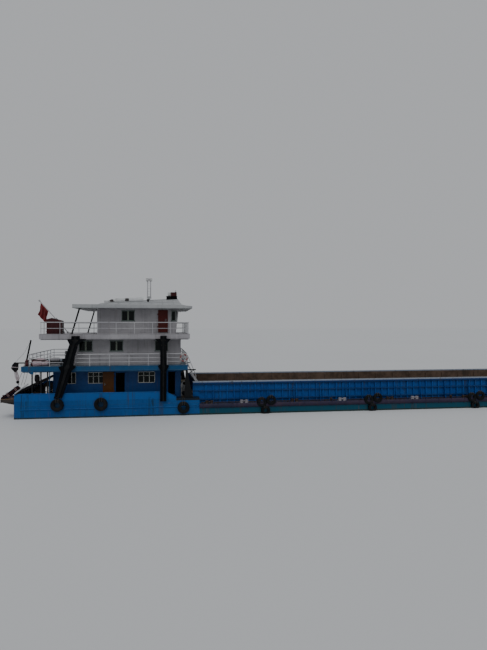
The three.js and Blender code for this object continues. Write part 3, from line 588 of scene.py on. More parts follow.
# Clusters of three tyres along the hold: middle of each, and the tyres from it, as the single ones are given
TYRE_CLUSTERS = (19.98, 29.32, 38.9)
CLUSTER = ((-0.44, 3.26, 0.4), (0.36, 3.4, 0.4), (-0.12, 2.57, 0.38))
TYRES = (*STERN_TYRES, *((middle + u, level, radius) for middle in TYRE_CLUSTERS
                         for u, level, radius in CLUSTER))
TYRE_HALF = 0.12
TREADS = 30


def half_round(side, low, high, depth, corners=6):
    """Outline across the ship of a bar with a rounded outer face on the hull's side."""
    face = HALF_BEAM + 0.001
    arc = [(depth * (0.45 + 0.55 * math.sin(math.pi * i / corners)),
            (low + high) / 2 - (high - low) / 2 * math.cos(math.pi * i / corners))
           for i in range(corners + 1)]
    return [(side * (face + y), z) for y, z in ((0, low), *arc, (0, high))]


def tyre_profile(half, outer, lip):
    """Rounded tyre section, hollow inside: radius and distance along the axle."""
    shoulder = outer - 0.035
    tread = [(shoulder, -half * 0.94), (outer, -half * 0.6), (outer, half * 0.6), (shoulder, half * 0.94)]
    wall = [(outer - 0.13, half), (lip + 0.03, half * 0.8), (lip, half * 0.62), (lip + 0.02, half * 0.5)]
    hollow = [(outer - 0.06, half * 0.45), (outer - 0.06, -half * 0.45)]
    return tread + wall + hollow + [(r, -t) for r, t in reversed(wall)] + [tread[0]]


def hang_tyre(kit, ropes, u, side, level, radius, top):
    """A tyre flat against the side, with treads, and the two ropes that it hangs on."""
    middle = Vector((u, side * (HALF_BEAM + 0.003 + TYRE_HALF), level))
    kit.lathe(middle, 36, tyre_profile(TYRE_HALF, radius, 0.43 * radius), (0, side, 0))
    for a in angles(TREADS):
        outward = Vector((math.cos(a), 0, math.sin(a)))
        slant = Vector((-math.sin(a) * 0.018, 0.07, math.cos(a) * 0.018))
        tread = middle + outward * (radius - 0.004)
        kit.beam(tread - slant, tread + slant, 0.03, 0.016, outward)
    # Along the ship as a share of the ropes' spread, out from the ship's side, and level
    path = ((0.6, -0.03, top), (0.7, 0.02, top - 0.03), (1, 0.02, level + radius + 0.05),
            (1, 0.103, level + radius + 0.02), (1, 0.223, level + radius - 0.01),
            (1, 0.255, level + radius - 0.1), (0.8, 0.243, level + 0.42 * radius),
            (0.8, 0.123, level + 0.4 * radius))
    for spread in (-0.09, 0.09):
        ropes.tube([(u + spread * share, side * (HALF_BEAM + out), z) for share, out, z in path], 0.014, 6)


for side_name, side in SIDES:
    rail = Kit(strip_paint)
    for paint, aft, fore, low, high, depth in RUB_STRETCHES:
        rail.use(paint)
        rail.plate(half_round(side, low, high, depth), (aft, fore), "u")
        for u in steps(aft + 0.3, fore - 0.3, 1.2):
            rail.block(around(u, 0.02), across(side, HALF_BEAM, HALF_BEAM + depth + 0.012),
                       (low - 0.03, high + 0.03))
    rail.piece(f"rub_rail_bars_{side_name}", "rub_red")
    tyres, ropes = Kit(tyre_rubber), Kit(old_rope)
    for u, level, radius in TYRES:
        if u < 12:
            top = max(BULWARK_TOP, level + radius + 0.1)
        else:
            top = 3.72 if u < STERN_END else SIDE_DECK + 0.03
        hang_tyre(tyres, ropes, u, side, level, radius, top)
    tyres.piece(f"tyres_{side_name}", "rubber", replaces=[f"rub_rail_{side_name}"])
    ropes.piece(f"tyre_ropes_{side_name}", "rubber")

# Mooring bitts along the side decks, white ones and rusty brown ones, and bollards between them
BITTS = ((bitt_white, (18.1, 26.6, 33.2)), (brown_steel, (15.2, 22.4, 30.9, 38, 43)))
BITTS_OUT = 5.04
BITT_POST = ((0.15, 0), (0.15, 0.02), (0.122, 0.05), (0.116, 0.18), (0.135, 0.21), (0.14, 0.25),
             (0.12, 0.275), (0.01, 0.28))


def dress_bitts(kit, u, y, deck):
    """Sleeve, cap and horn on each of the two posts, a bar between them and a bolted base."""
    kit.start(u, y, deck)
    kit.tube([(-0.2, 0, 0.235), (0.2, 0, 0.235)], 0.045, 10)
    for post in (-0.2, 0.2):
        kit.lathe((post, 0, 0.06), 16, BITT_POST)
        kit.tube([(post - 0.17, 0, 0.2), (post + 0.17, 0, 0.2)], 0.026)
    for du in (-0.4, 0.4):
        for dy in (-0.11, 0.11):
            kit.lathe((du, dy, 0.055), 6, [(0.025, 0), (0.025, 0.03), (0.01, 0.035)])


bitts = Kit(bitt_white)
for _, side in SIDES:
    for paint, places in BITTS:
        for u in places:
            dress_bitts(bitts.use(paint), u, side * BITTS_OUT, SIDE_DECK)
    dress_bitts(bitts, 50.3, side * 3.6, FORE_DECK)
    bitts.start(z=SIDE_DECK)
    for u in (25.6, 36.6):
        bitts.lathe((u, side * BITTS_OUT, 0), 14, [
            (0.16, 0), (0.15, 0.03), (0.07, 0.06), (0.07, 0.2), (0.13, 0.3), (0.11, 0.36), (0.01, 0.38)])
bitts.piece("mooring_bitts", "steel")

# Coamings: two stringers along the ribs, a brow under the rim, brackets and hatch cleats
RIB_FACE = HOLD_HALF + 0.24
BROW = COAMING_TOP - 0.22
STRINGER_ENDS = (STERN_END + 0.02, 48.95)
for side_name, side in SIDES:
    coaming = Kit(coaming_paint)
    for level in (3.46, 4.15):
        coaming.block(STRINGER_ENDS, across(side, RIB_FACE - 0.13, RIB_FACE + 0.012), (level, level + 0.03))
        coaming.block(STRINGER_ENDS, across(side, RIB_FACE, RIB_FACE + 0.03), (level - 0.06, level + 0.03))
    coaming.block((13.92, 48.95), across(side, RIB_FACE + 0.05, RIB_FACE + 0.075), (BROW - 0.03, BROW + 0.01))
    for u in steps(15.6, 48, 2.4):
        coaming.plate([(side * (RIB_FACE + out), level) for out, level in (
            (0, SIDE_DECK + 0.02), (0.26, SIDE_DECK + 0.02), (0.04, 4.4), (0, 4.4))], around(u, 0.02), "u")
    for u in steps(14.8, 48.2, 1.2):
        coaming.block(around(u, 0.015), around(side * (RIB_FACE + 0.065), 0.025), (BROW + 0.05, BROW + 0.15))
    coaming.piece(f"coaming_stringers_{side_name}", "hold_blue")

# Inside the hold: side frames, stringers, floor seams and a rung ladder at each end
hold = Kit(hold_paint, z=HOLD_FLOOR)
FRAME_OUTLINE = ((-0.004, 0), (-0.35, 0), (-0.12, 0.5), (-0.12, 3.7), (-0.004, 3.85))
for _, side in SIDES:
    for u in steps(15, 48.2, 1.8):
        hold.plate([(side * (HOLD_HALF + y), z) for y, z in FRAME_OUTLINE], around(u, 0.02), "u")
    for level in (1.1, SIDE_DECK - HOLD_FLOOR):
        hold.block((14.45, 48.66), across(side, HOLD_HALF - 0.08, HOLD_HALF - 0.004), around(level, 0.02))
for u in steps(16.2, 47.4, 1.8):
    hold.block(around(u, 0.015), (-3.9, 3.9), (0, 0.012))
for y in (-2.4, 0, 2.4):
    hold.block((14.5, 48.6), around(y, 0.015), (0, 0.012))
for u, rungs_u in ((14.41, 14.53), (48.69, 48.57)):
    for y in (-3.2, -2.8):
        hold.tube([(rungs_u, y, 0.1), (rungs_u, y, 4)], 0.022)
        for level in (0.6, 2.1, 3.6):
            hold.tube([(u, y, level), (rungs_u, y, level)], 0.015, 6)
    for level in steps(0.3, 3.8, 0.3):
        hold.tube([(rungs_u, -3.2, level), (rungs_u, -2.8, level)], 0.014, 6)
hold.piece("hold_frames", "hold_blue")

# Bulwarks at the stern: a pipe along the top and brackets inside
bulwark = Kit(strip_paint)
SIDE_BRACKET = ((0, MAIN_DECK + 0.001), (-0.24, MAIN_DECK + 0.001), (-0.02, BULWARK_TOP - 0.05),
                (0, BULWARK_TOP - 0.05))
for _, side in SIDES:
    y = side * (HALF_BEAM - 0.03)
    bulwark.tube([(0.1, y, 4.13), (0.35, y, BULWARK_TOP), (11.65, y, BULWARK_TOP), (12.5, y, 3.78)], 0.045)
    for u in steps(0.9, 11.3, 1.04):
        bulwark.plate([(side * (HALF_BEAM - 0.06 + y), z) for y, z in SIDE_BRACKET], around(u, 0.012), "u")
    bulwark.tube([(u, side * (HALF_BEAM + 0.008), SIDE_DECK + 0.02) for u in (12.5, BOW_START)], 0.02)
bulwark.tube([(0.03, y, BULWARK_TOP) for y in (-5.1, 5.1)], 0.045)
for y in steps(-4.4, 4.4, 1.1):
    bulwark.plate([(0.06, MAIN_DECK + 0.001), (0.3, MAIN_DECK + 0.001), (0.08, 4.18), (0.06, 4.18)],
                  around(y, 0.012))
bulwark.piece("bulwark_trim", "hull_blue")

# Stern platform: planks on a deep edge frame, the thick slanted beam with its lashings, a coil and a crate
PLATFORM_NEAR, PLATFORM_FAR = -4.6, -3.1
PLATFORM_TOP = 3.78
BEAM_FOOT, BEAM_HEAD = Vector((-1.04, -4.4, 0.08)), Vector((0.19, -4.4, 0.97))
platform = Kit(plank_wood, z=PLATFORM_TOP)
for i, u in enumerate(steps(-1.14, -0.2, 0.19)):
    shift = 0.01 * (i % 3)
    platform.block((u, u + 0.175), (PLATFORM_NEAR - 0.04 + shift, PLATFORM_FAR + 0.05 - shift), (0.002, 0.05))
platform.use(dark_timber)
for y in (PLATFORM_NEAR, PLATFORM_FAR):
    platform.block((-1.15, -0.003), around(y, 0.03), (-0.23, 0.01))
platform.block((-1.15, -1.1), (PLATFORM_NEAR, PLATFORM_FAR), (-0.23, 0.01))
for y in (-4.3, -3.85, -3.4):
    platform.plate([(-1.1, -0.21), (-0.003, -0.21), (-0.003, -0.48), (-0.06, -0.48), (-1.1, -0.26)],
                   around(y, 0.03))
platform.use(beam_red)
platform.tube([(-0.8, -4.4, 0.12), (-0.3, -4.4, 0.42), (0.27, -4.4, 0.82)], [0.06, 0.085, 0.06], 10)
platform.plate([(-1.14, 0.005), (-0.94, 0.005), (0.31, 0.86), (0.08, 1.07), (-1.14, 0.145)], (-4.52, -4.28))
platform.use(black_paint)
for y_range in ((-4.54, -4.5), (-4.3, -4.26)):
    platform.plate([(-0.95, 0.03), (0.29, 0.88), (0.25, 0.92), (-1, 0.06)], y_range)
    platform.plate([(-1.1, 0.15), (0.08, 1.04), (0.12, 1.01), (-1.05, 0.13)], y_range)
platform.use(faded_rope)
along_beam = (BEAM_HEAD - BEAM_FOOT).normalized()
off_beam = Vector((-along_beam.z, 0, along_beam.x))
for share in (0.3, 0.36, 0.78, 0.84):
    middle = BEAM_FOOT.lerp(BEAM_HEAD, share) + off_beam * 0.004
    platform.tube([middle + off_beam * 0.175 * a + Vector((0, 0.15 * b, 0)) for a, b in (
        (1, 1), (1, -1), (-1, -1), (-1, 1))], 0.017, 6, closed=True)
for row, radius in enumerate((0.24, 0.25, 0.23, 0.24, 0.2)):
    platform.ring((-0.52, -4, 0.075 + 0.042 * row), UP, radius, 0.024, 22, 6)
platform.tube([(-0.3, -4, 0.1), (-0.2, -4.2, 0.08), (-0.35, -4.35, 0.075), (-0.62, -4.3, 0.075)], 0.024, 6)
platform.use(orange_paint)
platform.block((-1.1, -0.86), (-4.22, -3.86), (0.05, 0.26))
platform.block((-1.12, -0.84), (-4.24, -3.84), (0.26, 0.3))
platform.piece("stern_platform", "hull_blue")

# Fender columns: upright timbers and rubber strips bolted between the decks
COLUMN_ROWS = {
    # level, middle and half width of each row, from the top down
    "aft": ((8.77, 4.64, 0.31), (8.53, 4.62, 0.32), (8.5, 4.7, 0.72), (8.12, 4.5, 0.34), (7.1, 4.2, 0.36),
            (6.45, 4.05, 0.42), (6.36, 4, 0.66), (5.98, 3.92, 0.4), (4.08, 3.36, 0.31), (3.9, 3.3, 0.31)),
    "fore": ((8.77, 11.47, 0.26), (8.53, 11.47, 0.27), (8.5, 11.42, 0.64), (8.12, 11.46, 0.27),
             (6.45, 11.47, 0.26), (6.36, 11.47, 0.45), (5.98, 11.47, 0.26), (3.5, 11.45, 0.26)),
}
STRIP_GAP = 0.018
# Each strip's edges as shares of the column's width, its inner and outer face and its paint
COLUMN_STRIPS = (
    (0, 1, 0.006, FENDER_OUT - 0.1, black_paint), (0, 1 / 3, 0.005, FENDER_OUT - 0.03, black_paint),
    (1 / 3, 2 / 3, 0.005, FENDER_OUT, tyre_rubber), (2 / 3, 1, 0.005, FENDER_OUT - 0.03, black_paint))


def column_strip(rows, first, last):
    """Outline of one upright strip of a column, as shares of its width."""
    aft_edge = [(middle - half + 2 * half * first + STRIP_GAP / 2, level) for level, middle, half in rows]
    fore_edge = [(middle - half + 2 * half * last - STRIP_GAP / 2, level) for level, middle, half in rows]
    return aft_edge + fore_edge[::-1]


columns = Kit(black_paint)
for rows in COLUMN_ROWS.values():
    for _, side in SIDES:
        for first, last, inner, out, paint in COLUMN_STRIPS:
            columns.use(paint)
            columns.plate(column_strip(rows, first, last), across(side, HALF_BEAM + inner, out))
        columns.use(brown_steel)
        for level, middle, half in (rows[1], rows[3], rows[-2]):
            for shift in (-0.54, 0.54):
                columns.lathe((middle + shift * half, side * (FENDER_OUT - 0.04), level - 0.12), 6,
                              [(0.035, 0), (0.035, 0.04), (0.01, 0.045)], (0, side, 0))
columns.piece("fender_columns", "rubber", soften=0.006, replaces=[
    f"fender_column_{end}_{side_name}" for end in COLUMN_ROWS for side_name, _ in SIDES])


# The three storeys as the frame has them, with the holes of each wall as (from, to, low, high).
# Windows have their panes after that
HIGH, LOW, TOP = (4.88, 5.8), (7.52, 8.35), (9.98, 10.82)
STOREYS = {
    "house": {
        "aft": 2.7, "fore": 12.9, "half": 4.05, "foot": MAIN_DECK, "head": BOAT_DECK - DECK_SLAB, "rake": 0,
        "proud": 0.01,
        "windows": {"side": ((3.78, 4.48, *HIGH, 2), (5.42, 6.69, *HIGH, 3), (9.41, 10.79, *HIGH, 3)),
                    "fore": ((-3.3, -1.9, 4.88, 5.7, 3), (1.9, 3.3, 4.88, 5.7, 3)), "aft": ()},
        "doorways": {"side": ((7.58, 8.38, 3.84, 5.78), (11.82, 12.48, 3.84, 5.8)),
                     "fore": ((-0.45, 0.45, 3.84, 5.75),), "aft": ((2.2, 3.1, 3.84, 5.1),)},
    },
    "cabin": {
        "aft": 4, "fore": 12.9, "half": 4.2, "foot": BOAT_DECK, "head": BRIDGE_DECK - DECK_SLAB, "rake": 0,
        "proud": 0.03,
        "windows": {"side": ((4.73, 5.79, *LOW, 2), (7.17, 8.21, *LOW, 2), (10.79, 11.85, *LOW, 2)),
                    "fore": ((-3.4, -2.2, *LOW, 2), (-0.6, 0.6, *LOW, 2), (2.2, 3.4, *LOW, 2)),
                    "aft": ((-3.2, -2.2, *LOW, 2), (2.2, 3.2, *LOW, 2))},
        "doorways": {"side": (), "fore": (), "aft": ((-0.42, 0.42, 6.5, 8.35),)},
    },
    "wheelhouse": {
        "aft": 6.14, "fore": 12.5, "half": 4.1, "foot": BRIDGE_DECK, "head": EAVE, "rake": 0.22,
        "proud": 0.03,
        "windows": {"side": ((8.09, 9.13, *TOP, 2), (12.12, 12.52, *TOP, 1)),
                    "fore": ((-3.8, -2.1, *TOP, 1), (-1.9, -0.1, *TOP, 1), (0.1, 1.9, *TOP, 1),
                             (2.1, 3.8, *TOP, 1)),
                    "aft": ((-3, -1.8, *TOP, 2), (1.8, 3, *TOP, 2))},
        "doorways": {"side": ((11.06, 11.78, 9.08, 10.83),), "fore": (), "aft": ()},
    },
}
WALL = 0.12
FRAME_WIDE = 0.045
GLASS_IN = 0.06


def wall_spots(storey):
    """For each wall, its kind and where a point of it lies: along the wall, level, and distance out."""
    def front(a, b, out):
        lean = storey["rake"] * (b - storey["foot"]) / (storey["head"] - storey["foot"])
        return (storey["fore"] + lean + out, a, b)

    return {
        "port": ("side", lambda a, b, out: (a, storey["half"] + out, b)),
        "starboard": ("side", lambda a, b, out: (a, -storey["half"] - out, b)),
        "aft": ("aft", lambda a, b, out: (storey["aft"] - out, a, b)),
        "fore": ("fore", front),
    }


def slab(kit, spot, a_range, b_range, out_range):
    """A block set in a wall."""
    kit.add([spot(a, b, out) for a in a_range for b in b_range for out in out_range], BLOCK_FACES)


def lining(kit, spot, hole, proud):
    """Four bars round the inside of a hole in a wall."""
    a0, a1, b0, b1 = hole
    depth = (-WALL - 0.005, proud)
    for b_range in ((b0, b0 + FRAME_WIDE), (b1 - FRAME_WIDE, b1)):
        slab(kit, spot, (a0, a1), b_range, depth)
    for a_range in ((a0, a0 + FRAME_WIDE), (a1 - FRAME_WIDE, a1)):
        slab(kit, spot, a_range, (b0, b1), depth)


def window(kit, panes_kit, spot, hole, proud, paint, mullion_paint, mullion_half):
    """Frame with mullions, sill and rain strip, and a sheet of glass behind them."""
    a0, a1, b0, b1, panes = hole
    lining(kit.use(paint), spot, (a0, a1, b0, b1), proud)
    if proud > 0.02:
        slab(kit, spot, (a0 - 0.05, a1 + 0.05), (b0 - 0.04, b0), (0, proud + 0.02))
        slab(kit, spot, (a0 - 0.05, a1 + 0.05), (b1 + 0.02, b1 + 0.045), (0, proud + 0.025))
    depth = (-GLASS_IN - 0.02, proud - 0.008)
    if panes > 2:
        slab(kit, spot, (a0, a1), around(b0 + (b1 - b0) * 0.64, 0.018), depth)
    kit.use(mullion_paint)
    for i in range(1, panes):
        slab(kit, spot, around(a0 + (a1 - a0) * i / panes, mullion_half), (b0, b1), depth)
    slab(panes_kit, spot, (a0 + 0.01, a1 - 0.01), (b0 + 0.01, b1 - 0.01), (-GLASS_IN - 0.012, -GLASS_IN))


# Windows, door linings, corner mouldings, seams between panels and a rain rail under each deck
for storey_name, storey in STOREYS.items():
    low_house = storey_name == "house"
    foot, head = storey["foot"], storey["head"]
    frame_paint = window_frame_paint if low_house else dark_frame_paint
    mullion = (window_frame_paint, 0.025) if low_house else (mullion_paint, 0.06)
    frames, panes_kit = Kit(frame_paint), Kit(glass)
    trim = Kit(house_paint if low_house else white_paint)
    for wall, (kind, spot) in wall_spots(storey).items():
        windows, doorways = storey["windows"][kind], storey["doorways"][kind]
        for hole in windows:
            window(frames, panes_kit, spot, hole, storey["proud"], frame_paint, *mullion)
        frames.use(house_paint if low_house else dark_frame_paint)
        for hole in doorways:
            lining(frames, spot, hole, 0.004)
        if kind == "side":
            ends, clear, seam_out, rail_out = (storey["aft"], storey["fore"]), 0.06, 0.008, 0.02
            seams = steps(ends[0] + 0.9, ends[1] - 0.5, 0.95)
            if not low_house:
                for u in (ends[0] + 0.03, ends[1] - 0.03):
                    slab(trim, spot, around(u, 0.03), (foot + 0.01, head - 0.01), (0, 0.014))
        else:
            ends, clear, seam_out, rail_out = around(0, storey["half"] - 0.2), 0.05, 0.01, 0.025
            seams = steps(*ends, 1.3)
        for seam in seams:
            if not any(hole[0] - clear < seam < hole[1] + clear for hole in (*windows, *doorways)):
                slab(trim, spot, around(seam, 0.012), (foot + 0.05, head - 0.05), (0, seam_out))
        slab(trim, spot, ends, (head - 0.07, head - 0.02), (0, rail_out))
    frames.piece(f"{storey_name}_window_frames", "house_white")
    panes_kit.piece(f"{storey_name}_window_glass", "house_white")
    trim.piece(f"{storey_name}_wall_trim", "hold_blue" if low_house else "house_white")

# Doors: raised panels and a lever handle that move with each leaf
DOORS = {
    # hinge from transom, leaf direction at rest, width, low, high, hinge line from centre, paint, slot
    "house": (7.52, -1, 0.92, 3.8, 5.83, 4.1, orange_paint, "door_orange"),
    "wheelhouse": (11, 1, 0.84, 9.04, 10.88, 4.15, red_paint, "door_red"),
}
LEAF_HALF = 0.02
RELIEF = 0.007


def door_details(kit, spot, wide, low, high):
    """Raised borders and panels on both faces of a leaf, and its lever."""
    borders = [((a, b), (low + 0.01, high - 0.01)) for a, b in ((0.05, 0.14), (wide - 0.1, wide - 0.005))]
    rails = [((0.13, wide - 0.09), b) for b in (
        (low + 0.01, low + 0.16), (low + 0.95, low + 1.05), (high - 0.12, high - 0.01))]
    panels = [((0.26, wide - 0.22), b) for b in ((low + 1.2, high - 0.26), (low + 0.3, low + 0.82))]
    for skin in ((LEAF_HALF, LEAF_HALF + RELIEF), (-LEAF_HALF - RELIEF, -LEAF_HALF)):
        for a_range, b_range in borders + rails + panels:
            slab(kit, spot, a_range, b_range, skin)
    kit.use(steel_paint)
    lever, out = low + 1, LEAF_HALF + 0.05
    slab(kit, spot, (wide - 0.175, wide - 0.125), around(lever, 0.1), (LEAF_HALF, LEAF_HALF + 0.015))
    kit.tube([spot(wide - 0.15, lever, LEAF_HALF), spot(wide - 0.15, lever, out)], 0.014)
    kit.tube([spot(wide - 0.145, lever, out), spot(wide - 0.28, lever - 0.01, out)], 0.013)


for door_name, (hinge, rest, wide, low, high, line, paint, slot) in DOORS.items():
    for side_name, side in SIDES:
        leaf = Kit(paint)
        door_details(leaf, lambda a, b, out: (hinge + rest * a, side * (line + out), b), wide, low, high)
        leaf.piece(f"{door_name}_door_{side_name}_panels", slot, body=f"{door_name}_door_{side_name}")

# Deck edges, with rounded nosings and brackets under the overhangs, and railings of round tube
RAIL_IN = 0.08
RAIL_PITCH = 1.45
DECKS = {
    # level, aft end, fore end, aft end of the railing, half breadth of the walls below, bars, paint, slot
    "boat": (BOAT_DECK, 0.52, 13.44, 0.98, 4.05, (0.3, 0.61, 0.92), deck_paint, "hull_blue"),
    "bridge": (BRIDGE_DECK, 1.85, 13.6, 1.85, 4.2, (0.44, 0.92), white_paint, "house_white"),
}


def rim_loop(aft, fore, inset, level, corner=0.08, turns=4):
    """A closed path round a deck, with rounded corners."""
    path = []
    for u_way, y_way, start in ((1, 1, 0), (-1, 1, 90), (-1, -1, 180), (1, -1, 270)):
        u = (fore - inset if u_way > 0 else aft + inset) - u_way * corner
        y = y_way * (HALF_BEAM - inset - corner)
        for i in range(turns + 1):
            a = math.radians(start + 90 * i / turns)
            path.append((u + corner * math.cos(a), y + corner * math.sin(a), level))
    return path


for deck_name, (level, aft, fore, rail_aft, wall_half, bars, paint, slot) in DECKS.items():
    edge = Kit(paint, z=level)
    edge.tube(rim_loop(aft, fore, 0.004, -0.02, 0.02), 0.022, closed=True)
    edge.tube(rim_loop(aft, fore, 0.004, -DECK_SLAB + 0.02, 0.02), 0.02, closed=True)
    edge.start(z=level - DECK_SLAB)
    for _, side in SIDES:
        for u in steps(aft + 1.4, fore - 1, 1.21):
            edge.plate([(side * y, z) for y, z in (
                (wall_half, -0.001), (5.14, -0.001), (5.1, -0.05), (wall_half + 0.25, -0.09),
                (wall_half, -0.09))], around(u, 0.02), "u")
        edge.block((aft + 0.1, fore - 0.1), across(side, 5.08, 5.12), (-0.07, -0.001))
    edge.piece(f"{deck_name}_deck_edge", slot)

    rails = Kit(rail_paint, z=level)
    for bar in bars:
        rails.tube(rim_loop(rail_aft, fore, RAIL_IN, bar), 0.036 if bar == bars[-1] else 0.024, closed=True)
    u_ends, y_ends = (rail_aft + RAIL_IN, fore - RAIL_IN), around(0, HALF_BEAM - RAIL_IN)
    feet = [(u, y) for u in steps(u_ends[0] + 0.05, u_ends[1] - 0.05, RAIL_PITCH) for y in y_ends]
    feet += [(u, y) for y in steps(*y_ends, RAIL_PITCH)[1:-1] for u in u_ends]
    for u, y in feet:
        rails.tube([(u, y, 0), (u, y, bars[-1])], 0.026)
        rails.lathe((u, y, 0), 10, [(0.055, 0), (0.055, 0.012), (0.03, 0.02)])
    rails.piece(f"{deck_name}_railing", "house_white", replaces=[
        f"{deck_name}_rail_{wall}" for wall in ("port", "starboard", "aft", "fore")])


# Roof: the frame's rows of (from transom, thickness at the eave, height of the crown)
ROOF_ROWS = ((4.34, 0.3, 0.3), (6.2, 0.3, 0.31), (6.3, 0.3, 0.62), (12.8, 0.3, 1.02), (13, 0.27, 0.55),
             (13.3, 0.24, 0.33), (13.8, 0.2, 0.2))
ROOF_HALF = 5.15


def roof_level(u, y):
    """Height of the roof's skin over the eave."""
    before, after = next(pair for pair in zip(ROOF_ROWS, ROOF_ROWS[1:]) if u <= pair[1][0])
    share = (u - before[0]) / (after[0] - before[0])
    edge, crown = (a + share * (b - a) for a, b in zip(before[1:], after[1:]))
    shoulder = edge + (crown - edge) * 0.6
    share = abs(y) / ROOF_HALF
    if share > 0.5:
        return edge + (shoulder - edge) * (1 - share) * 2
    return shoulder + (crown - shoulder) * (1 - 2 * share)


# Seams over the roof and along it, rims, rafters under the eaves, and a drain pipe at each aft corner
roof = Kit(roof_paint, z=EAVE)
for u in (*steps(4.9, 6.1, 0.6), *steps(6.9, 12.3, 0.9)):
    roof.tube([(u, y, roof_level(u, y) + 0.004) for y in (-5.12, -2.575, 0, 2.575, 5.12)], 0.014, 6)
roof.tube([(u, 0, roof_level(u, 0) + 0.01) for u in (6.32, 9, 12.78)], 0.045)
for _, side in SIDES:
    for y in (1.7, 3.4):
        roof.tube([(u, side * y, roof_level(u, y) + 0.004) for u in (6.32, 8, 10, 12.78)], 0.011, 6)
    roof.block((4.36, 13.7), around(side * ROOF_HALF, 0.02), (0.03, 0.09))
    for u in steps(4.9, 13.2, 1.3):
        roof.block(around(u, 0.03), across(side, 4.15, ROOF_HALF - 0.05), (-0.06, 0.001))
for u in (4.37, 13.72):
    roof.block(around(u, 0.02), (-ROOF_HALF, ROOF_HALF), (0.02, 0.07))
roof.use(black_paint)
for y in (5.02, -5.02):
    roof.tube([(4.3, y, BRIDGE_DECK - EAVE + 0.002), (4.89, y, -0.005)], 0.064, 10)
    roof.lathe((4.3, y, BRIDGE_DECK - EAVE), 14, [(0.12, 0), (0.12, 0.02), (0.07, 0.04)])
roof.piece("roof_trim", "roof_grey")

# Loose things on the roof: pale foam boards as (start, end, width, thickness), dark sacks and two vents
ROOF_BOARDS = (
    ((6.35, -0.55, 0.75), (7, -0.45, 0.81), 0.5, 0.13), ((7.15, -0.62, 0.8), (8.15, -0.5, 0.93), 0.55, 0.17),
    ((8.5, -0.68, 0.92), (9.75, -0.6, 0.99), 0.5, 0.2), ((6.6, 0.5, 0.69), (8.4, 0.62, 0.81), 0.4, 0.15),
    ((7.3, -0.5, 0.97), (9.6, -0.62, 1.11), 0.42, 0.07))
loose = Kit(board_paint, z=EAVE)
for board in ROOF_BOARDS:
    loose.beam(*board)
loose.use(dark_sacking)
for u, y, level, size in ((7.08, -0.7, 0.79, 0.24), (8.33, -0.6, 0.88, 0.24), (6.18, -0.8, 0.47, 0.18)):
    loose.sack((u, y, level), (size, size * 0.8, size * 0.5), u, u)
loose.use(black_paint)
for u, y in ((10.2, -2.6), (11.4, 1.6)):
    loose.lathe((u, y, roof_level(u, y) - 0.02), 16, [
        (0.07, 0), (0.07, 0.14), (0.15, 0.15), (0.14, 0.2), (0.05, 0.25), (0.01, 0.255)])
loose.piece("roof_loose_things", "house_white", soften=0.006)

# Searchlight: a black housing on the ridge, a red lamp box and a white lamp on it, and a pair of horns
HOUSING_TOP = 1.26
lamp = Kit(black_paint, z=EAVE)
lamp.block((11.79, 12.73), (-0.31, 0.31), (0.5, HOUSING_TOP - 0.05))
lamp.block((11.77, 12.75), (-0.33, 0.33), (HOUSING_TOP - 0.06, HOUSING_TOP + 0.006))
for u in (11.95, 12.25, 12.55):
    lamp.block(around(u, 0.02), (-0.325, 0.325), (0.6, HOUSING_TOP - 0.05))
lamp.use(tank_paint)
lamp.block((12.19, 12.69), (-0.23, 0.23), (HOUSING_TOP, 1.57))
lamp.block((12.17, 12.71), (-0.25, 0.25), (1.57, 1.61))
for level in (1.34, 1.41, 1.48):
    lamp.block((12.25, 12.63), (-0.236, 0.236), (level, level + 0.025))
lamp.use(board_paint)
lamp.lathe((12.04, 0, HOUSING_TOP), 24, [
    (0.11, 0), (0.11, 0.03), (0.135, 0.05), (0.137, 0.24), (0.11, 0.31), (0.05, 0.325), (0.01, 0.326)])
lamp.lathe((12.6, 0, 1.6), 16, [
    (0.05, 0), (0.05, 0.05), (0.065, 0.07), (0.065, 0.15), (0.04, 0.19), (0.01, 0.2)])
lamp.use(clear_lamp)
lamp.lathe((12.04, -0.1, HOUSING_TOP + 0.16), 20, [
    (0.1, -0.04), (0.105, 0.04), (0.085, 0.05), (0.01, 0.055)], (0, -1, 0))
for y in (-0.13, 0.13):
    lamp.lathe((12.7, y, 1.43), 16, [(0.08, -0.02), (0.085, 0.02), (0.06, 0.035), (0.01, 0.04)], FORWARD)
lamp.use(steel_paint)
for y in (0.9, 1.15):
    level = roof_level(12.2, y) + 0.16
    lamp.lathe((12, y, level), 16, [
        (0.03, -0.1), (0.03, 0), (0.04, 0.2), (0.06, 0.32), (0.11, 0.42), (0.1, 0.43), (0.02, 0.2)],
        (1, 0, 0.05))
    lamp.tube([(12.05, y, level - 0.2), (12.05, y, level)], 0.02)
lamp.piece("roof_searchlight", "door_red", soften=0.004)

# Mast: a sleeve and collars on each pole, rungs between them, and lamps at the head
mast = Kit(rail_paint, u=10.24, z=EAVE + 1.14)
for u in (-0.135, 0.135):
    mast.tube([(u, 0, level) for level in (0.15, 0.8, 1.5)], 0.047, 12)
    for level in (0.12, 0.75, 1.4):
        mast.lathe((u, 0, level), 12, [(0.035, 0), (0.046, 0.005), (0.046, 0.035), (0.035, 0.04)])
for level in steps(0.3, 1.3, 0.25):
    mast.tube([(-0.13, 0, level), (0.13, 0, level)], 0.012, 6)
mast.block((-0.285, 0.285), (-0.095, 0.095), (1.67, 1.69))
mast.use(clear_lamp)
for u in (-0.18, 0.18):
    for y in (-1, 1):
        mast.lathe((u, y * 0.085, 1.57), 14, [(0.07, 0), (0.065, 0.03), (0.01, 0.04)], (0, y, 0))
mast.piece("mast_lamps_and_rungs", "steel", body="mast")

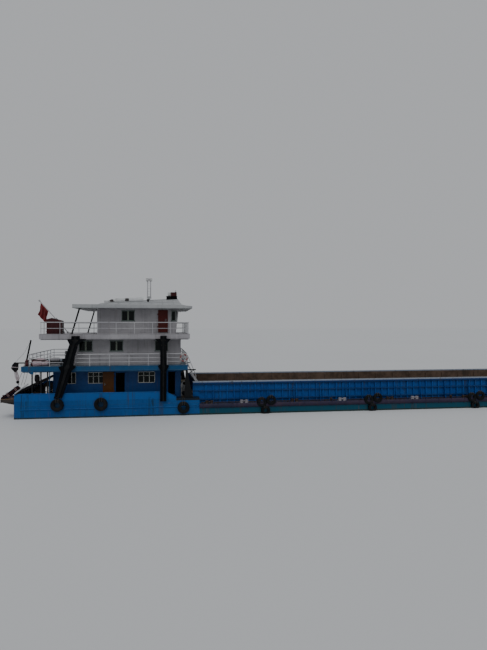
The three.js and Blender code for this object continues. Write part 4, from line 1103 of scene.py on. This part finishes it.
# Flag: one limp cloth that hangs from the leaning staff, with folds that run down from the hoist
STAFF_FOOT, STAFF_HEAD = Vector((3.83, -3.3, BRIDGE_DECK)), Vector((1.52, -3.3, 11.59))
STAFF_RADIUS = 0.035
STAFF_UP = (STAFF_HEAD - STAFF_FOOT).normalized()
BELOW_STAFF = Vector((-STAFF_UP.z, 0, STAFF_UP.x))
# Shares of the staff's length where the cloth starts and ends
FLAG_LOW, FLAG_HIGH = 0.7, 0.96
FLAG_FLY = 1.08
# Share of the fly that the folds leave to hang down
FLAG_DROP = 0.9


def flag_point(along, down):
    """A point of the cloth from its shares of the hoist, upwards, and of the fly, downwards."""
    hoist = STAFF_FOOT.lerp(STAFF_HEAD, FLAG_LOW + along * (FLAG_HIGH - FLAG_LOW))
    hoist += BELOW_STAFF * (STAFF_RADIUS + 0.004)
    loose = min(1, down * 3)
    wave = 0.078 * loose * math.sin(2 * math.pi * (2.3 * along + 0.3 * down))
    wave += 0.02 * down * math.sin(2 * math.pi * (4.6 * along - 0.7 * down) + 1.2)
    drift = -0.19 * down ** 1.2 + 0.02 * math.sin(3 * math.pi * down + 2 * along) * loose
    gather = 0.06 * math.sin(math.pi * down) * (0.5 - along)
    return (hoist.x + drift - gather, hoist.y + wave, hoist.z - FLAG_FLY * FLAG_DROP * down)


def sheet(paint, point, columns, rows, name, node, slot):
    """A cloth from a function of its two shares, each from 0 to 1, in place of a node."""
    kit = Kit(paint)
    wide = columns + 1
    kit.add([point(i / columns, j / rows) for j in range(rows + 1) for i in range(wide)],
            [(k, k + 1, k + 1 + wide, k + wide) for k in range(rows * wide) if k % wide < columns])
    return kit.piece(name, slot, replaces=[node], smooth=180)


sheet(flag_cloth, flag_point, 30, 34, "flag_cloth", "flag", "flag_cloth")

staff = Kit(rail_paint)
for share in (0.705, 0.79, 0.875, 0.955):
    staff.ring(STAFF_FOOT.lerp(STAFF_HEAD, share), STAFF_UP, 0.043, 0.008, 14, 6)
staff.lathe(STAFF_HEAD, 16, [(0.035, -0.02), (0.066, 0), (0.073, 0.05), (0.05, 0.1), (0.01, 0.115)], STAFF_UP)
staff.lathe(STAFF_FOOT, 16, [(0.075, 0.08), (0.075, 0.2), (0.04, 0.26), (0.036, 0.3)], STAFF_UP)
staff.piece("flagstaff_fittings", "house_white")

# Stern canopy: one tarpaulin pulled over a pipe frame, sagging between its rafters
CANOPY_HALF = 4.86
CANOPY_FLAP = 0.22
CANOPY_WIDE = 2 * (CANOPY_HALF + CANOPY_FLAP)
CANOPY_FOOT, CANOPY_HEAD = (0.03, 4.41), (2.68, 5.62)
CANOPY_RUN = math.dist(CANOPY_FOOT, CANOPY_HEAD)
CANOPY_HEM = 0.1
RAFTERS = 7


def canopy_point(along, up):
    """A point of the tarpaulin: along runs across the ship, up from its lower edge to the house."""
    across_it = along * CANOPY_WIDE - CANOPY_WIDE / 2
    hang = max(0, abs(across_it) - CANOPY_HALF)
    y = math.copysign(min(abs(across_it), CANOPY_HALF), across_it)
    run = up * (CANOPY_RUN + CANOPY_HEM) - CANOPY_HEM
    below = max(0, -run)
    share = max(0, run) / CANOPY_RUN
    u, level = (foot + share * (head - foot) for foot, head in zip(CANOPY_FOOT, CANOPY_HEAD))
    bay = abs(math.sin(math.pi * (RAFTERS - 1) * (y / CANOPY_HALF + 1) / 2))
    sag = 0.09 * bay * math.sin(math.pi * min(1, share * 1.1 + 0.02)) * (hang == 0)
    ripple = 0.012 * math.sin(9 * share * math.pi + 3 * y) + 0.01 * math.sin(23 * y + 4 * share)
    flutter = 0.035 * hang / CANOPY_FLAP * math.sin(14 * share)
    return (u, y + flutter, level - sag + ripple - hang - below)


sheet(canvas_cloth, canopy_point, 132, 34, "stern_tarpaulin", "stern_canopy", "canvas")

# Rafters and rails under the tarpaulin, and a pale prop at the starboard bulwark
pipes = Kit(brown_steel)
for y in steps(-4.8, 4.8, 9.6 / (RAFTERS - 1)):
    pipes.tube([(0.1, y, 4.26), (0.12, y, 4.36), (2.66, y, 5.5)], 0.035)
for share in (0.04, 0.5, 0.97):
    pipes.tube([(0.1 + 2.56 * share, y, 4.32 + 1.14 * share) for y in (-4.84, 4.84)], 0.03)
pipes.use(rail_paint)
pipes.tube([(0.03, -5.08, 4.28), (0.12, -5.07, 4.36), (1.02, -4.98, 5.04)], 0.045)
pipes.piece("canopy_frame", "steel")

# Davit: short post, arm, leaning pole, the wrapped hoist and its two falls down to the platform's beam
HOIST_SHAPE = ((-0.38, 6.22), (-0.1, 5.89), (0.1, 6.1), (0.135, 6.6), (-0.14, 6.69), (-0.3, 6.5))
davit = Kit(brown_steel, y=-4.4)
davit.lathe((0.69, 0, BOAT_DECK), 16, [(0.13, 0), (0.13, 0.025), (0.06, 0.05), (0.055, 0.32), (0.04, 0.33)])
for half, levels in ((0.035, (6.66, 6.68)), (0.035, (6.585, 6.605)), (0.01, (6.6, 6.67))):
    davit.block((-0.2, 0.7), (-half, half), levels)
davit.use(black_paint)
davit.tube([(0.68, 0, 6.42), (0.7, 0, 6.52), (1.08, 0, 8.44)], 0.062, 12)
for share in (0.2, 0.6, 0.97):
    davit.ring((0.7 + 0.38 * share, 0, 6.52 + 1.92 * share), (0.19, 0, 0.98), 0.066, 0.014, 14, 6)
davit.tube([(1.06, 0, 8.36), (0.55, 0, 7.4), (-0.08, 0, 6.7)], 0.009, 6)
davit.use(canvas_cloth)
for y_range, shrink in (((-0.2, -0.13), 0.9), ((-0.13, 0.13), 1), ((0.13, 0.2), 0.9)):
    davit.plate([(-0.12 + (u + 0.12) * shrink, 6.3 + (z - 6.3) * shrink) for u, z in HOIST_SHAPE], y_range)
davit.use(steel_paint)
davit.lathe((-0.1, -0.197, 6.36), 20, [(0.1, 0), (0.12, 0.01), (0.12, 0.03), (0.1, 0.04)], (0, 1, 0))
davit.use(pale_rope)
for y in (-0.14, 0.14):
    davit.plate([(u * 1.01, z) for u, z in ((-0.34, 6.36), (-0.35, 6.32), (0.128, 6.28), (0.13, 6.32))],
                around(y, 0.062))
for y, aside in ((-0.12, -0.09), (-0.06, 0.03), (0, 0.15), (0.06, -0.03), (0.12, 0.09)):
    davit.tube([(-0.06 + 0.5 * aside, y, 5.98), (0.01 + aside, y * 0.9, 5.6),
                (0.09 + 0.4 * aside, y * 0.4, 5.22)], 0.036)
davit.tube([(0.6, 0.02, 6.6), (0.42, 0.02, 5.9), (0.16, 0.02, 5.28)], 0.022, 6)
davit.use(old_rope)
for u in (0, 0.22):
    davit.tube([(0.66 + u, -0.1, 6.02), (0.5 + u, -0.1, 5.3), (0.36 + u, -0.1, 4.86)], 0.014, 6)
davit.use(pale_rope)
davit.tube([(0.1, 0, 5.05), (0.14, 0, 4.96), (0.17, 0, 4.86)], 0.024, 6)
davit.use(black_paint)
davit.lathe((0.09, -0.075, 5.13), 18, [
    (0.03, -0.01), (0.1, 0), (0.12, 0.02), (0.1, 0.05), (0.1, 0.1), (0.12, 0.13), (0.1, 0.15),
    (0.03, 0.16)], (0, 1, 0))
davit.ring((0.14, 0, 4.98), (0, 1, 0), 0.05, 0.016, 14, 6)
davit.piece("stern_hoist", "steel", replaces=["stern_davit"], soften=0.003)


# Handrails of the ladders, and a guard round the hatch that the aft one leads up to
HATCH_CORNERS = ((5.26, 4.98), (5.26, 4.26), (6.44, 4.26), (6.44, 4.98))
ladder_rails = Kit(rail_paint)
for y in (-3.92, -3.33):
    ladder_rails.tube([(14.2, y, COAMING_TOP + 0.06), (14.18, y, COAMING_TOP + 0.5),
                       (13.49, y, BOAT_DECK + 0.72), (13.49, y, BOAT_DECK + 0.02)], 0.018)
for y in (4.34, 4.92):
    ladder_rails.tube([(6.52, y, BOAT_DECK + 0.1), (6.5, y, BOAT_DECK + 0.85),
                       (5.62, y, BRIDGE_DECK - 0.1)], 0.018)
ladder_rails.start(z=BRIDGE_DECK)
for u, y in HATCH_CORNERS:
    ladder_rails.tube([(u, y, 0), (u, y, 0.8)], 0.018)
for level in (0.42, 0.8):
    ladder_rails.tube([(u, y, level) for u, y in HATCH_CORNERS], 0.016)
ladder_rails.block((5.27, 6.43), (4.27, 4.29), (0, 0.06))
ladder_rails.piece("ladder_handrails", "house_white")

# Deck tank: strapped ribs, a filler cap, a valve and feet
tank = Kit(tank_paint)
for u in (2.48, 2.88, 3.27):
    for y in (-4.62, -3.52):
        tank.block(around(u, 0.03), (y, y + 0.04), (BRIDGE_DECK + 0.06, 9.9))
for level in (9.1, 9.82):
    tank.block((2.28, 3.47), (-4.625, -4.6), (level, level + 0.05))
    tank.block((3.45, 3.475), (-4.62, -3.48), (level, level + 0.05))
tank.beam((2.6, -4.05, 10.19), (3.44, -4.05, 9.97), 0.7, 0.04)
tank.use(steel_paint)
tank.lathe((2.95, -4.05, 10.08), 16, [
    (0.13, 0), (0.13, 0.05), (0.1, 0.07), (0.03, 0.08), (0.03, 0.13), (0.01, 0.14)], axis=(0.22, 0, 1))
tank.tube([(3.45, -4.3, 9.15), (3.58, -4.3, 9.15), (3.62, -4.3, 9.1), (3.62, -4.3, BRIDGE_DECK)], 0.028)
tank.ring((3.54, -4.3, 9.22), UP, 0.05, 0.01, 12, 6)
tank.piece("deck_tank_details", "door_red", soften=0.004)

# Lifebuoys: white rings with red quarters and a grab line
BUOY_RADIUS, BUOY_THICK = 0.27, 0.055
buoys = Kit(buoy_white)
for centre, axis in (((13.12, -5.2, 6.97), (0, 1, 0)), ((9.6, 5.2, 6.97), (0, 1, 0)),
                     ((1.86, 2.2, 9.45), FORWARD)):
    points = [Vector(centre) + BUOY_RADIUS * spoke for spoke in spokes(axis, 40)]
    for part in range(8):
        buoys.use(buoy_red if part % 2 else buoy_white)
        buoys.tube([points[(5 * part + i) % 40] for i in range(6)], BUOY_THICK, 10)
    buoys.use(rope_fibre)
    buoys.ring(centre, axis, BUOY_RADIUS + BUOY_THICK + 0.012, 0.008, 24, 5)
buoys.piece("lifebuoys", "house_white")

# After boat deck: bundles as (place, half sizes, heading), a bent pole, a skylight, a raft case and a drum
PALE_BUNDLES = (
    ((1.62, -4.68, 0.19), (0.46, 0.26, 0.23), 0.1), ((2.15, -4.45, 0.16), (0.36, 0.28, 0.19), 0.7),
    ((1.75, -4.2, 0.21), (0.42, 0.28, 0.25), -0.3), ((1.5, -3.75, 0.19), (0.36, 0.3, 0.22), 0.5),
    ((2.05, -3.6, 0.16), (0.3, 0.3, 0.19), 1.2), ((1.8, -4.4, 0.47), (0.38, 0.26, 0.16), 0.2))
RED_BUNDLES = (
    ((1.3, -4.6, 0.16), (0.2, 0.34, 0.19), 0.1), ((1.34, -4.1, 0.2), (0.2, 0.3, 0.24), -0.2),
    ((1.34, -4.4, 0.4), (0.2, 0.28, 0.12), 0.3), ((0.83, -4.5, 0.15), (0.15, 0.4, 0.18), 0.05),
    ((0.84, -4.55, 0.4), (0.13, 0.3, 0.11), -0.1))
stores = Kit(pale_sacking, z=BOAT_DECK)
for centre, half, turn in PALE_BUNDLES:
    stores.sack(centre, half, turn, 3 * centre[0] + centre[1])
stores.use(maroon_sacking)
for centre, half, turn in RED_BUNDLES:
    stores.sack(centre, half, turn, 2 * centre[1])
stores.use(brown_steel)
stores.tube([(1.14, -4.86, 0.5), (1.4, -4.8, 0.54), (1.75, -4.72, 0.45), (2.1, -4.66, 0.43),
             (2.42, -4.6, 0.52)], 0.038)
stores.use(white_paint)
stores.block((2.42, 3.28), (-4.3, -3.3), (0, 0.2))
stores.lathe((2.48, -4.1, 0.47), 22, [
    (0.04, -0.02), (0.13, 0), (0.16, 0.05), (0.16, 0.36), (0.175, 0.365), (0.175, 0.405), (0.16, 0.41),
    (0.16, 0.7), (0.13, 0.75), (0.04, 0.77)], axis=FORWARD)
stores.use(black_paint)
stores.block((2.36, 3.34), (-4.38, -3.22), (0.2, 0.3))
for u in (2.6, 3.08):
    stores.plate([(-4.28, 0.29), (-3.92, 0.29), (-4.02, 0.36), (-4.18, 0.36)], around(u, 0.04), "u")
stores.lathe((3.6, -4.45, 0), 18, [
    (0.07, 0), (0.07, 0.38), (0.14, 0.4), (0.15, 0.46), (0.1, 0.54), (0.01, 0.56)])
stores.use(steel_paint)
stores.lathe((2.7, 3.4, 0), 22, [(0.28, 0), (0.3, 0.04), (0.3, 0.8), (0.26, 0.84), (0.02, 0.85)])
for level in (0.27, 0.55):
    stores.ring((2.7, 3.4, level), UP, 0.3, 0.014, 22, 6)
stores.piece("boat_deck_stores", "house_white", soften=0.005)

# Main deck aft: a white drum, nets and tarpaulins, a post and a black roll under the deck above
AFT_HEAPS = (
    ((2.2, -4, 0.36), (0.42, 0.5, 0.42), 0.2), ((1.55, -4.2, 0.3), (0.4, 0.44, 0.34), 1.1),
    ((2.3, -4, 1), (0.34, 0.46, 0.36), 0.6), ((2, -3.2, 0.36), (0.44, 0.4, 0.42), 2),
    ((1.8, -4.1, 0.78), (0.36, 0.42, 0.3), 2.6), ((2.25, -3.3, 0.95), (0.3, 0.4, 0.3), 0.3))
UNDER_BOAT_DECK = BOAT_DECK - DECK_SLAB - MAIN_DECK
stores = Kit(board_paint, z=MAIN_DECK)
stores.lathe((2.42, -4.7, 0), 22, [
    (0.16, 0), (0.18, 0.03), (0.18, 0.34), (0.192, 0.355), (0.18, 0.37), (0.18, 0.72), (0.192, 0.735),
    (0.18, 0.75), (0.17, 1.02), (0.12, 1.06), (0.02, 1.07)])
stores.use(canvas_cloth)
stores.sack((1.66, -4.92, 1.75), (0.2, 0.16, 0.3), 0.1, 1)
stores.sack((1.68, -4.9, 1.43), (0.15, 0.13, 0.2), 0.4, 2)
for centre, half, turn in AFT_HEAPS:
    stores.use(canvas_cloth if 0.3 < centre[2] < 0.9 else brown_net)
    stores.sack(centre, half, turn, 2 * centre[0] + centre[1])
stores.use(deck_paint)
stores.tube([(2.6, -4.95, 0), (2.6, -4.95, UNDER_BOAT_DECK)], 0.035)
stores.use(brown_steel)
for u in (1.55, 1.85):
    stores.tube([(u, -4.92, 2.01), (u, -4.92, UNDER_BOAT_DECK)], 0.012)
stores.piece("main_deck_stores", "house_white")

# Deck winches and the pump at each fore corner of the house, with a short spar over them
winches = Kit(steel_paint, z=MAIN_DECK)
for _, side in SIDES:
    winches.use(brown_steel)
    winches.block((13, 13.9), across(side, 4.3, 4.86), (0, 0.09))
    for u in (13.08, 13.78):
        winches.plate([(side * 4.36, 0.08), (side * 4.8, 0.08), (side * 4.7, 0.5), (side * 4.46, 0.5)],
                      around(u, 0.03), "u")
    winches.lathe((13.02, side * 4.58, 0.38), 22, [
        (0.19, 0), (0.19, 0.05), (0.1, 0.07), (0.1, 0.76), (0.19, 0.78), (0.19, 0.84), (0.04, 0.85)], FORWARD)
    winches.use(rope_fibre)
    for row in range(10):
        winches.ring((13.16 + 0.06 * row, side * 4.58, 0.38), FORWARD, 0.125, 0.03, 18, 6)
    winches.use(steel_paint)
    winches.block((12.92, 13.3), across(side, 4.12, 4.3), (0.02, 0.95))
    winches.lathe((12.99, side * 4.5, 0.75), 16, [
        (0.1, 0), (0.12, 0.03), (0.12, 0.3), (0.05, 0.36), (0.03, 0.44)])
    winches.tube([(12.99, side * 4.5, 0.75), (12.99, side * 4.5, 0.1)], 0.05)
    winches.tube([(12.99, side * 4.5, 1.15), (13.12, side * 4.5, 1.3), (13.4, side * 4.45, 1.3)], 0.03)
    winches.use(black_paint)
    winches.lathe((13.1, side * 4.86, 0.4), 18, [
        (0.16, 0), (0.16, 0.05), (0.05, 0.07), (0.04, 0.09)], (0, side, 0))
    winches.beam((13.3, side * 4.3, 2.24), (14.15, side * 4.3, 2.24), 0.08, 0.09)
    winches.tube([(13.5, side * 4.3, 1.91), (14, side * 4.3, 2.21)], 0.025)
winches.piece("forward_winches", "steel", soften=0.003)

# Side decks: round manhole lids with bolts, and pipes along the coaming foot
LID_BOLTS = 8
side_deck = Kit(brown_steel, z=SIDE_DECK)
for _, side in SIDES:
    for u in (17, 20.6, 24.2, 28.6, 32.2, 35.6, 40.4, 45.8):
        side_deck.lathe((u, side * 4.74, 0), 20, [
            (0.25, 0), (0.25, 0.03), (0.22, 0.035), (0.22, 0.05), (0.02, 0.055)])
        for a in angles(LID_BOLTS):
            side_deck.lathe((u + 0.2 * math.cos(a), side * 4.74 + 0.2 * math.sin(a), 0.05), 6,
                            [(0.018, 0), (0.018, 0.018), (0.004, 0.02)])
    side_deck.tube([(14.6, side * 4.47, 0.1), (48.6, side * 4.47, 0.1)], 0.04)
    for u in steps(15.4, 48, 3.2):
        side_deck.block(around(u, 0.02), across(side, 4.42, 4.52), (0, 0.12))
side_deck.piece("side_deck_fittings", "steel")

# Bow: a cap along the bulwark, its stays and a line of weld at the deck
BOW_STEPS = 9


def bow_curve(reach, half, share):
    """A place on the rounded bow, from port beam (-1) round the stem to starboard beam (1)."""
    return BOW_START + reach * math.sqrt(max(0, 1 - share * share)), half * share


def bow_top(u):
    """Height of the bow bulwark's edge over the foredeck."""
    return 0.75 + 0.45 * ((u - BOW_START) / BOW_REACH) ** 2


def bow_line(inset_u, inset_y, count=BOW_STEPS):
    """Places round the bow, inside its outline."""
    return [bow_curve(BOW_REACH - inset_u, HALF_BEAM - inset_y, i / BOW_STEPS)
            for i in range(-count, count + 1)]


bow = Kit(hull_paint, z=FORE_DECK)
bow.tube([(u, y, bow_top(u) + 0.005) for u, y in bow_line(0.075, 0.05)], 0.075)
for u, y in bow_line(0.15, 0.12, BOW_STEPS - 1):
    inward = Vector((BOW_START + 1.5 - u, -y, 0)).normalized() * 0.4
    bow.beam((u, y, bow_top(u) - 0.08), (u + inward.x, y + inward.y, 0.01), 0.03, 0.12)
bow.tube([(u, y, -0.02) for u, y in bow_line(0.036, 0.036)], 0.035, 6)
bow.piece("bow_trim", "hull_blue")


# Foredeck: anchors with their chains, vents, bollards, a hatch and a lamp post
def chain(kit, path, link=0.085, bar=0.016):
    """Links along a path, each turned a quarter from the last."""
    path = [Vector(p) for p in path]
    total = sum((b - a).length for a, b in zip(path, path[1:]))
    count = int(total / (link * 1.35))
    for n in range(count):
        left = total * (n + 0.5) / count
        for a, b in zip(path, path[1:]):
            if left <= (b - a).length:
                break
            left -= (b - a).length
        along = (b - a).normalized()
        aside = along.cross(UP).normalized()
        if n % 2:
            aside = along.cross(aside).normalized()
        centre = a + along * left
        kit.tube([centre + along * link * 0.85 * math.cos(t) + aside * link * 0.5 * math.sin(t)
                  for t in angles(10)], bar, 5, closed=True)


def anchor(kit, side):
    """A stockless anchor drawn up against the bow. Gives the place over it and the way out from there."""
    reach = 6.75
    u, y = bow_curve(reach, HALF_BEAM, 0.5)
    out = Vector(((u - BOW_START) / reach ** 2, y / HALF_BEAM ** 2, 0)).normalized()
    out.y *= side
    along = Vector((-out.y, out.x, 0)) * side
    hawse = Vector((u, side * y, 0.05)) + out * 0.12
    head, foot = hawse - UP * 0.25, hawse - UP * 1.05
    kit.beam(head, foot, 0.12, 0.1, out)
    kit.beam(foot - along * 0.36, foot + along * 0.36, 0.2, 0.16, out)
    for way in (-1, 1):
        heel = foot + along * way * 0.26 + out * 0.02
        fluke = UP * 0.62 + along * way * 0.06
        kit.beam(heel, heel + fluke * 0.6, 0.17, 0.07, out)
        kit.tube([heel + fluke * 0.55, heel + fluke], [0.085, 0.012], 6)
    kit.ring(head + UP * 0.05, along, 0.08, 0.02, 14, 6)
    return hawse, out


HATCH_WHEEL = (53.45, 0, 0.42)
gear = Kit(steel_paint, z=FORE_DECK)
for _, side in SIDES:
    gear.use(brown_steel)
    hawse, out = anchor(gear, side)
    gear.ring(hawse - out * 0.08 + UP * 0.12, out, 0.17, 0.045, 20)
    chain(gear, [(51.95, side * 0.5, 0.62), (52.6, side * 0.8, 0.2), hawse - out * 0.45 + UP * 0.12])
    gear.use(steel_paint)
    gear.lathe((49.9, side * 1.9, 0), 20, [
        (0.11, 0), (0.11, 0.42), (0.24, 0.44), (0.25, 0.52), (0.16, 0.6), (0.01, 0.62)])
    for share in (0.62, 0.86):
        u, y = bow_curve(BOW_REACH - 0.3, HALF_BEAM - 0.3, share)
        gear.lathe((u, side * y, 0), 16, [
            (0.14, 0), (0.14, 0.02), (0.07, 0.05), (0.07, 0.3), (0.12, 0.36), (0.1, 0.42), (0.01, 0.43)])
gear.use(white_paint)
gear.block((53, 53.9), (-0.45, 0.45), (0, 0.28))
gear.block((52.96, 53.94), (-0.49, 0.49), (0.28, 0.34))
gear.use(steel_paint)
gear.ring(HATCH_WHEEL, UP, 0.14, 0.014, 20, 6)
gear.tube([(53.45, 0, 0.33), (53.45, 0, 0.43)], 0.018)
for a in angles(6)[:3]:
    spoke = Vector((math.cos(a), math.sin(a), 0)) * 0.14
    gear.tube([Vector(HATCH_WHEEL) - spoke, Vector(HATCH_WHEEL) + spoke], 0.009, 6)
gear.use(rail_paint)
gear.tube([(54.9, 0, 0), (54.9, 0, 1.05)], 0.035)
gear.lathe((54.9, 0, 0), 14, [(0.11, 0), (0.11, 0.02), (0.04, 0.05)])
gear.use(clear_lamp)
gear.lathe((54.9, 0, 1.02), 18, [(0.06, 0), (0.075, 0.02), (0.075, 0.13), (0.03, 0.16), (0.01, 0.17)])
gear.piece("foredeck_gear", "steel")

# Windlass: gear wheel, brake lever and bolts on its frame, wire on its drum
GEAR_TEETH = 28
winch = Kit(steel_paint, u=51.6, z=FORE_DECK)
winch.lathe((0, 1.2, 0.5), GEAR_TEETH, [
    (0.3, 0), (0.3, 0.05), (0.1, 0.06), (0.09, 0.14), (0.02, 0.15)], (0, 1, 0))
for a in angles(GEAR_TEETH):
    spoke = Vector((math.cos(a), 0, math.sin(a)))
    tooth = Vector((0, 1.225, 0.5)) + spoke * 0.31
    winch.beam(tooth - Vector((0, 0.022, 0)), tooth + Vector((0, 0.022, 0)), 0.03, 0.035, spoke)
for u in (-0.32, 0.32):
    for y in (-0.88, -0.78, 0.78, 0.88):
        winch.lathe((u, y, 0.12), 6, [(0.025, 0), (0.025, 0.03), (0.006, 0.032)])
winch.use(black_paint)
winch.tube([(-0.3, 1, 0.72), (-0.4, 1, 1), (-0.55, 1, 1.12)], 0.02)
winch.lathe((-0.57, 1, 1.13), 12, [(0.03, -0.03), (0.035, 0), (0.01, 0.04)], (-1, 0, 1))
winch.piece("windlass_gear", "steel")
wire = Kit(brown_steel, u=51.6, z=FORE_DECK + 0.6)
for row in range(30):
    wire.ring((0, -0.64 + 0.044 * row, 0), (0, 1, 0), 0.225, 0.024, 24, 5)
wire.piece("windlass_wire", "steel", body="windlass_drum")

# Seen through the windows of the wheelhouse: chart table, wheel, screens and a stool
WHEEL, WHEEL_RADIUS = Vector((11.42, 0, 0.85)), 0.36
rooms = Kit(plank_wood, z=BRIDGE_DECK)
rooms.plate([(11.55, 0), (12.15, 0), (12.15, 0.92), (11.95, 1.02), (11.55, 0.82)], (-1.9, 1.9))
rooms.use(steel_paint)
rooms.ring(WHEEL, (1, 0, -0.2), WHEEL_RADIUS, 0.018, 28)
for a in angles(8)[:4]:
    spoke = Vector((0, math.cos(a), math.sin(a))) * WHEEL_RADIUS
    rooms.tube([WHEEL + spoke, WHEEL - spoke], 0.01, 6)
rooms.tube([WHEEL, (11.62, 0, 0.83)], 0.03)
rooms.use(black_paint)
for y in (-1.2, 1.2):
    rooms.block((11.75, 12.05), around(y, 0.22), (1, 1.32))
rooms.use(brown_steel)
rooms.lathe((10.7, 0, 0), 20, [
    (0.24, 0), (0.22, 0.04), (0.05, 0.08), (0.05, 0.6), (0.2, 0.62), (0.24, 0.66), (0.23, 0.7), (0.02, 0.71)])
rooms.plate([(-0.2, 0.69), (0.2, 0.69), (0.17, 1.22), (-0.17, 1.22)], (10.42, 10.47), "u")
rooms.use(plank_wood)
rooms.block((6.4, 7.2), (2.2, 3.9), (0, 0.85))
rooms.block((6.4, 8.3), (-3.9, -3.2), (0, 0.5))
# Bunks and walls of the cabins
rooms.start(z=BOAT_DECK)
for u in (7, 9.6):
    rooms.block(around(u, 0.03), (-4.05, 4.05), (0, BRIDGE_DECK - DECK_SLAB - BOAT_DECK))
for ends in ((4.3, 6.6), (7.3, 9.3), (9.9, 12)):
    for _, side in SIDES:
        rooms.block(ends, across(side, 3.2, 4), (0, 0.45))
        rooms.block(ends, across(side, 3.2, 3.25), (0.45, 0.6))
# The casing over the engine, with its doors, and benches on the main deck
rooms.start(z=MAIN_DECK)
rooms.block((3.2, 5.6), (-1, 1), (0, 0.85))
for _, side in SIDES:
    rooms.block((9, 11.4), across(side, 3.2, 3.85), (0, 0.5))
    rooms.use(dark_timber)
    rooms.block((6.4, 12.6), across(side, 1.2, 1.24), (0, UNDER_BOAT_DECK))
    for u in (8.2, 10.4):
        rooms.block((u, u + 0.66), across(side, 1.24, 1.27), (0.1, 1.9))
    rooms.use(plank_wood)
rooms.piece("house_interior", "door_orange", soften=0.006)

# Sterngear: ribs and a collar on each rudder, a nut and a bronze ring on each propeller
RUDDER_RIB = ((-1.15, 0.03), (-0.2, 0.088), (0.28, 0.066))
for side_name, side in SIDES:
    ribs = Kit(hull_paint, u=3.9, y=side * 2.4)
    for level in (0.5, 0.95, 1.4):
        ribs.plate([(u, -y) for u, y in RUDDER_RIB] + list(reversed(RUDDER_RIB)), around(level, 0.012), "z")
    ribs.lathe((0, 0, 1.66), 16, [(0.14, 0), (0.14, 0.03), (0.1, 0.06), (0.092, 0.1)])
    ribs.piece(f"rudder_{side_name}_ribs", "hull_blue", body=f"rudder_{side_name}")
    nut = Kit(bronze_paint, y=side * 2.4, z=1)
    nut.lathe((5.45, 0, 0), 20, [(0.204, 0.01), (0.21, 0.03), (0.204, 0.05)], (-1, 0, 0))
    nut.lathe((4.97, 0, 0), 8, [(0.1, -0.03), (0.11, 0), (0.06, 0.03), (0.01, 0.04)], (-1, 0, 0))
    nut.piece(f"propeller_{side_name}_nut", "bronze", body=f"propeller_{side_name}")


# Camera at the photo's viewpoint, low on the starboard quarter
scene = bpy.context.scene
lens = bpy.data.cameras.new("camera")
lens.lens = 29.908
lens.sensor_width = 36.0
lens.clip_end = 2000.0
camera = bpy.data.objects.new("camera", lens)
camera.location = (-8.484, -24.671, 4.78)
camera.rotation_euler = (math.radians(90.106), 0.0, math.radians(-9.0))
scene.collection.objects.link(camera)
scene.camera = camera

# Pale floor at the waterline, open inside the hold, whose own floor is lower
FLOOR_HALF = 600.0
DRY = [place(u, y, WATERLINE) for u in (STERN_END - 0.2, BOW_START - 0.15)
       for y in (-HOLD_HALF - 0.3, HOLD_HALF + 0.3)]
floor_mesh = bpy.data.meshes.new("floor")
floor_mesh.from_pydata(
    [(x, y, WATERLINE * MODEL_SCALE) for x in around(0.0, FLOOR_HALF) for y in around(0.0, FLOOR_HALF)] + DRY,
    [], [(0, 4, 5, 1), (2, 3, 7, 6), (0, 2, 6, 4), (1, 5, 7, 3)])
floor = bpy.data.objects.new("floor", floor_mesh)
scene.collection.objects.link(floor)
p = Paint("pale_floor")
floor_mesh.materials.append(p.finish(p.mix(p.noise(0.02), (0.52, 0.53, 0.54), (0.56, 0.57, 0.58)), 0.8))

# Soft daylight from all round and a broad weak sun
scene.world = bpy.data.worlds.new("daylight")
scene.world.use_nodes = True
sky = scene.world.node_tree.nodes["Background"]
sky.inputs["Color"].default_value = (0.8, 0.82, 0.85, 1.0)
sky.inputs["Strength"].default_value = 0.56

sun_light = bpy.data.lights.new("sun", "SUN")
sun_light.energy = 1.3
sun_light.angle = math.radians(50.0)
sun = bpy.data.objects.new("sun", sun_light)
sun.rotation_euler = (math.radians(36.0), 0.0, math.radians(-14.0))
scene.collection.objects.link(sun)
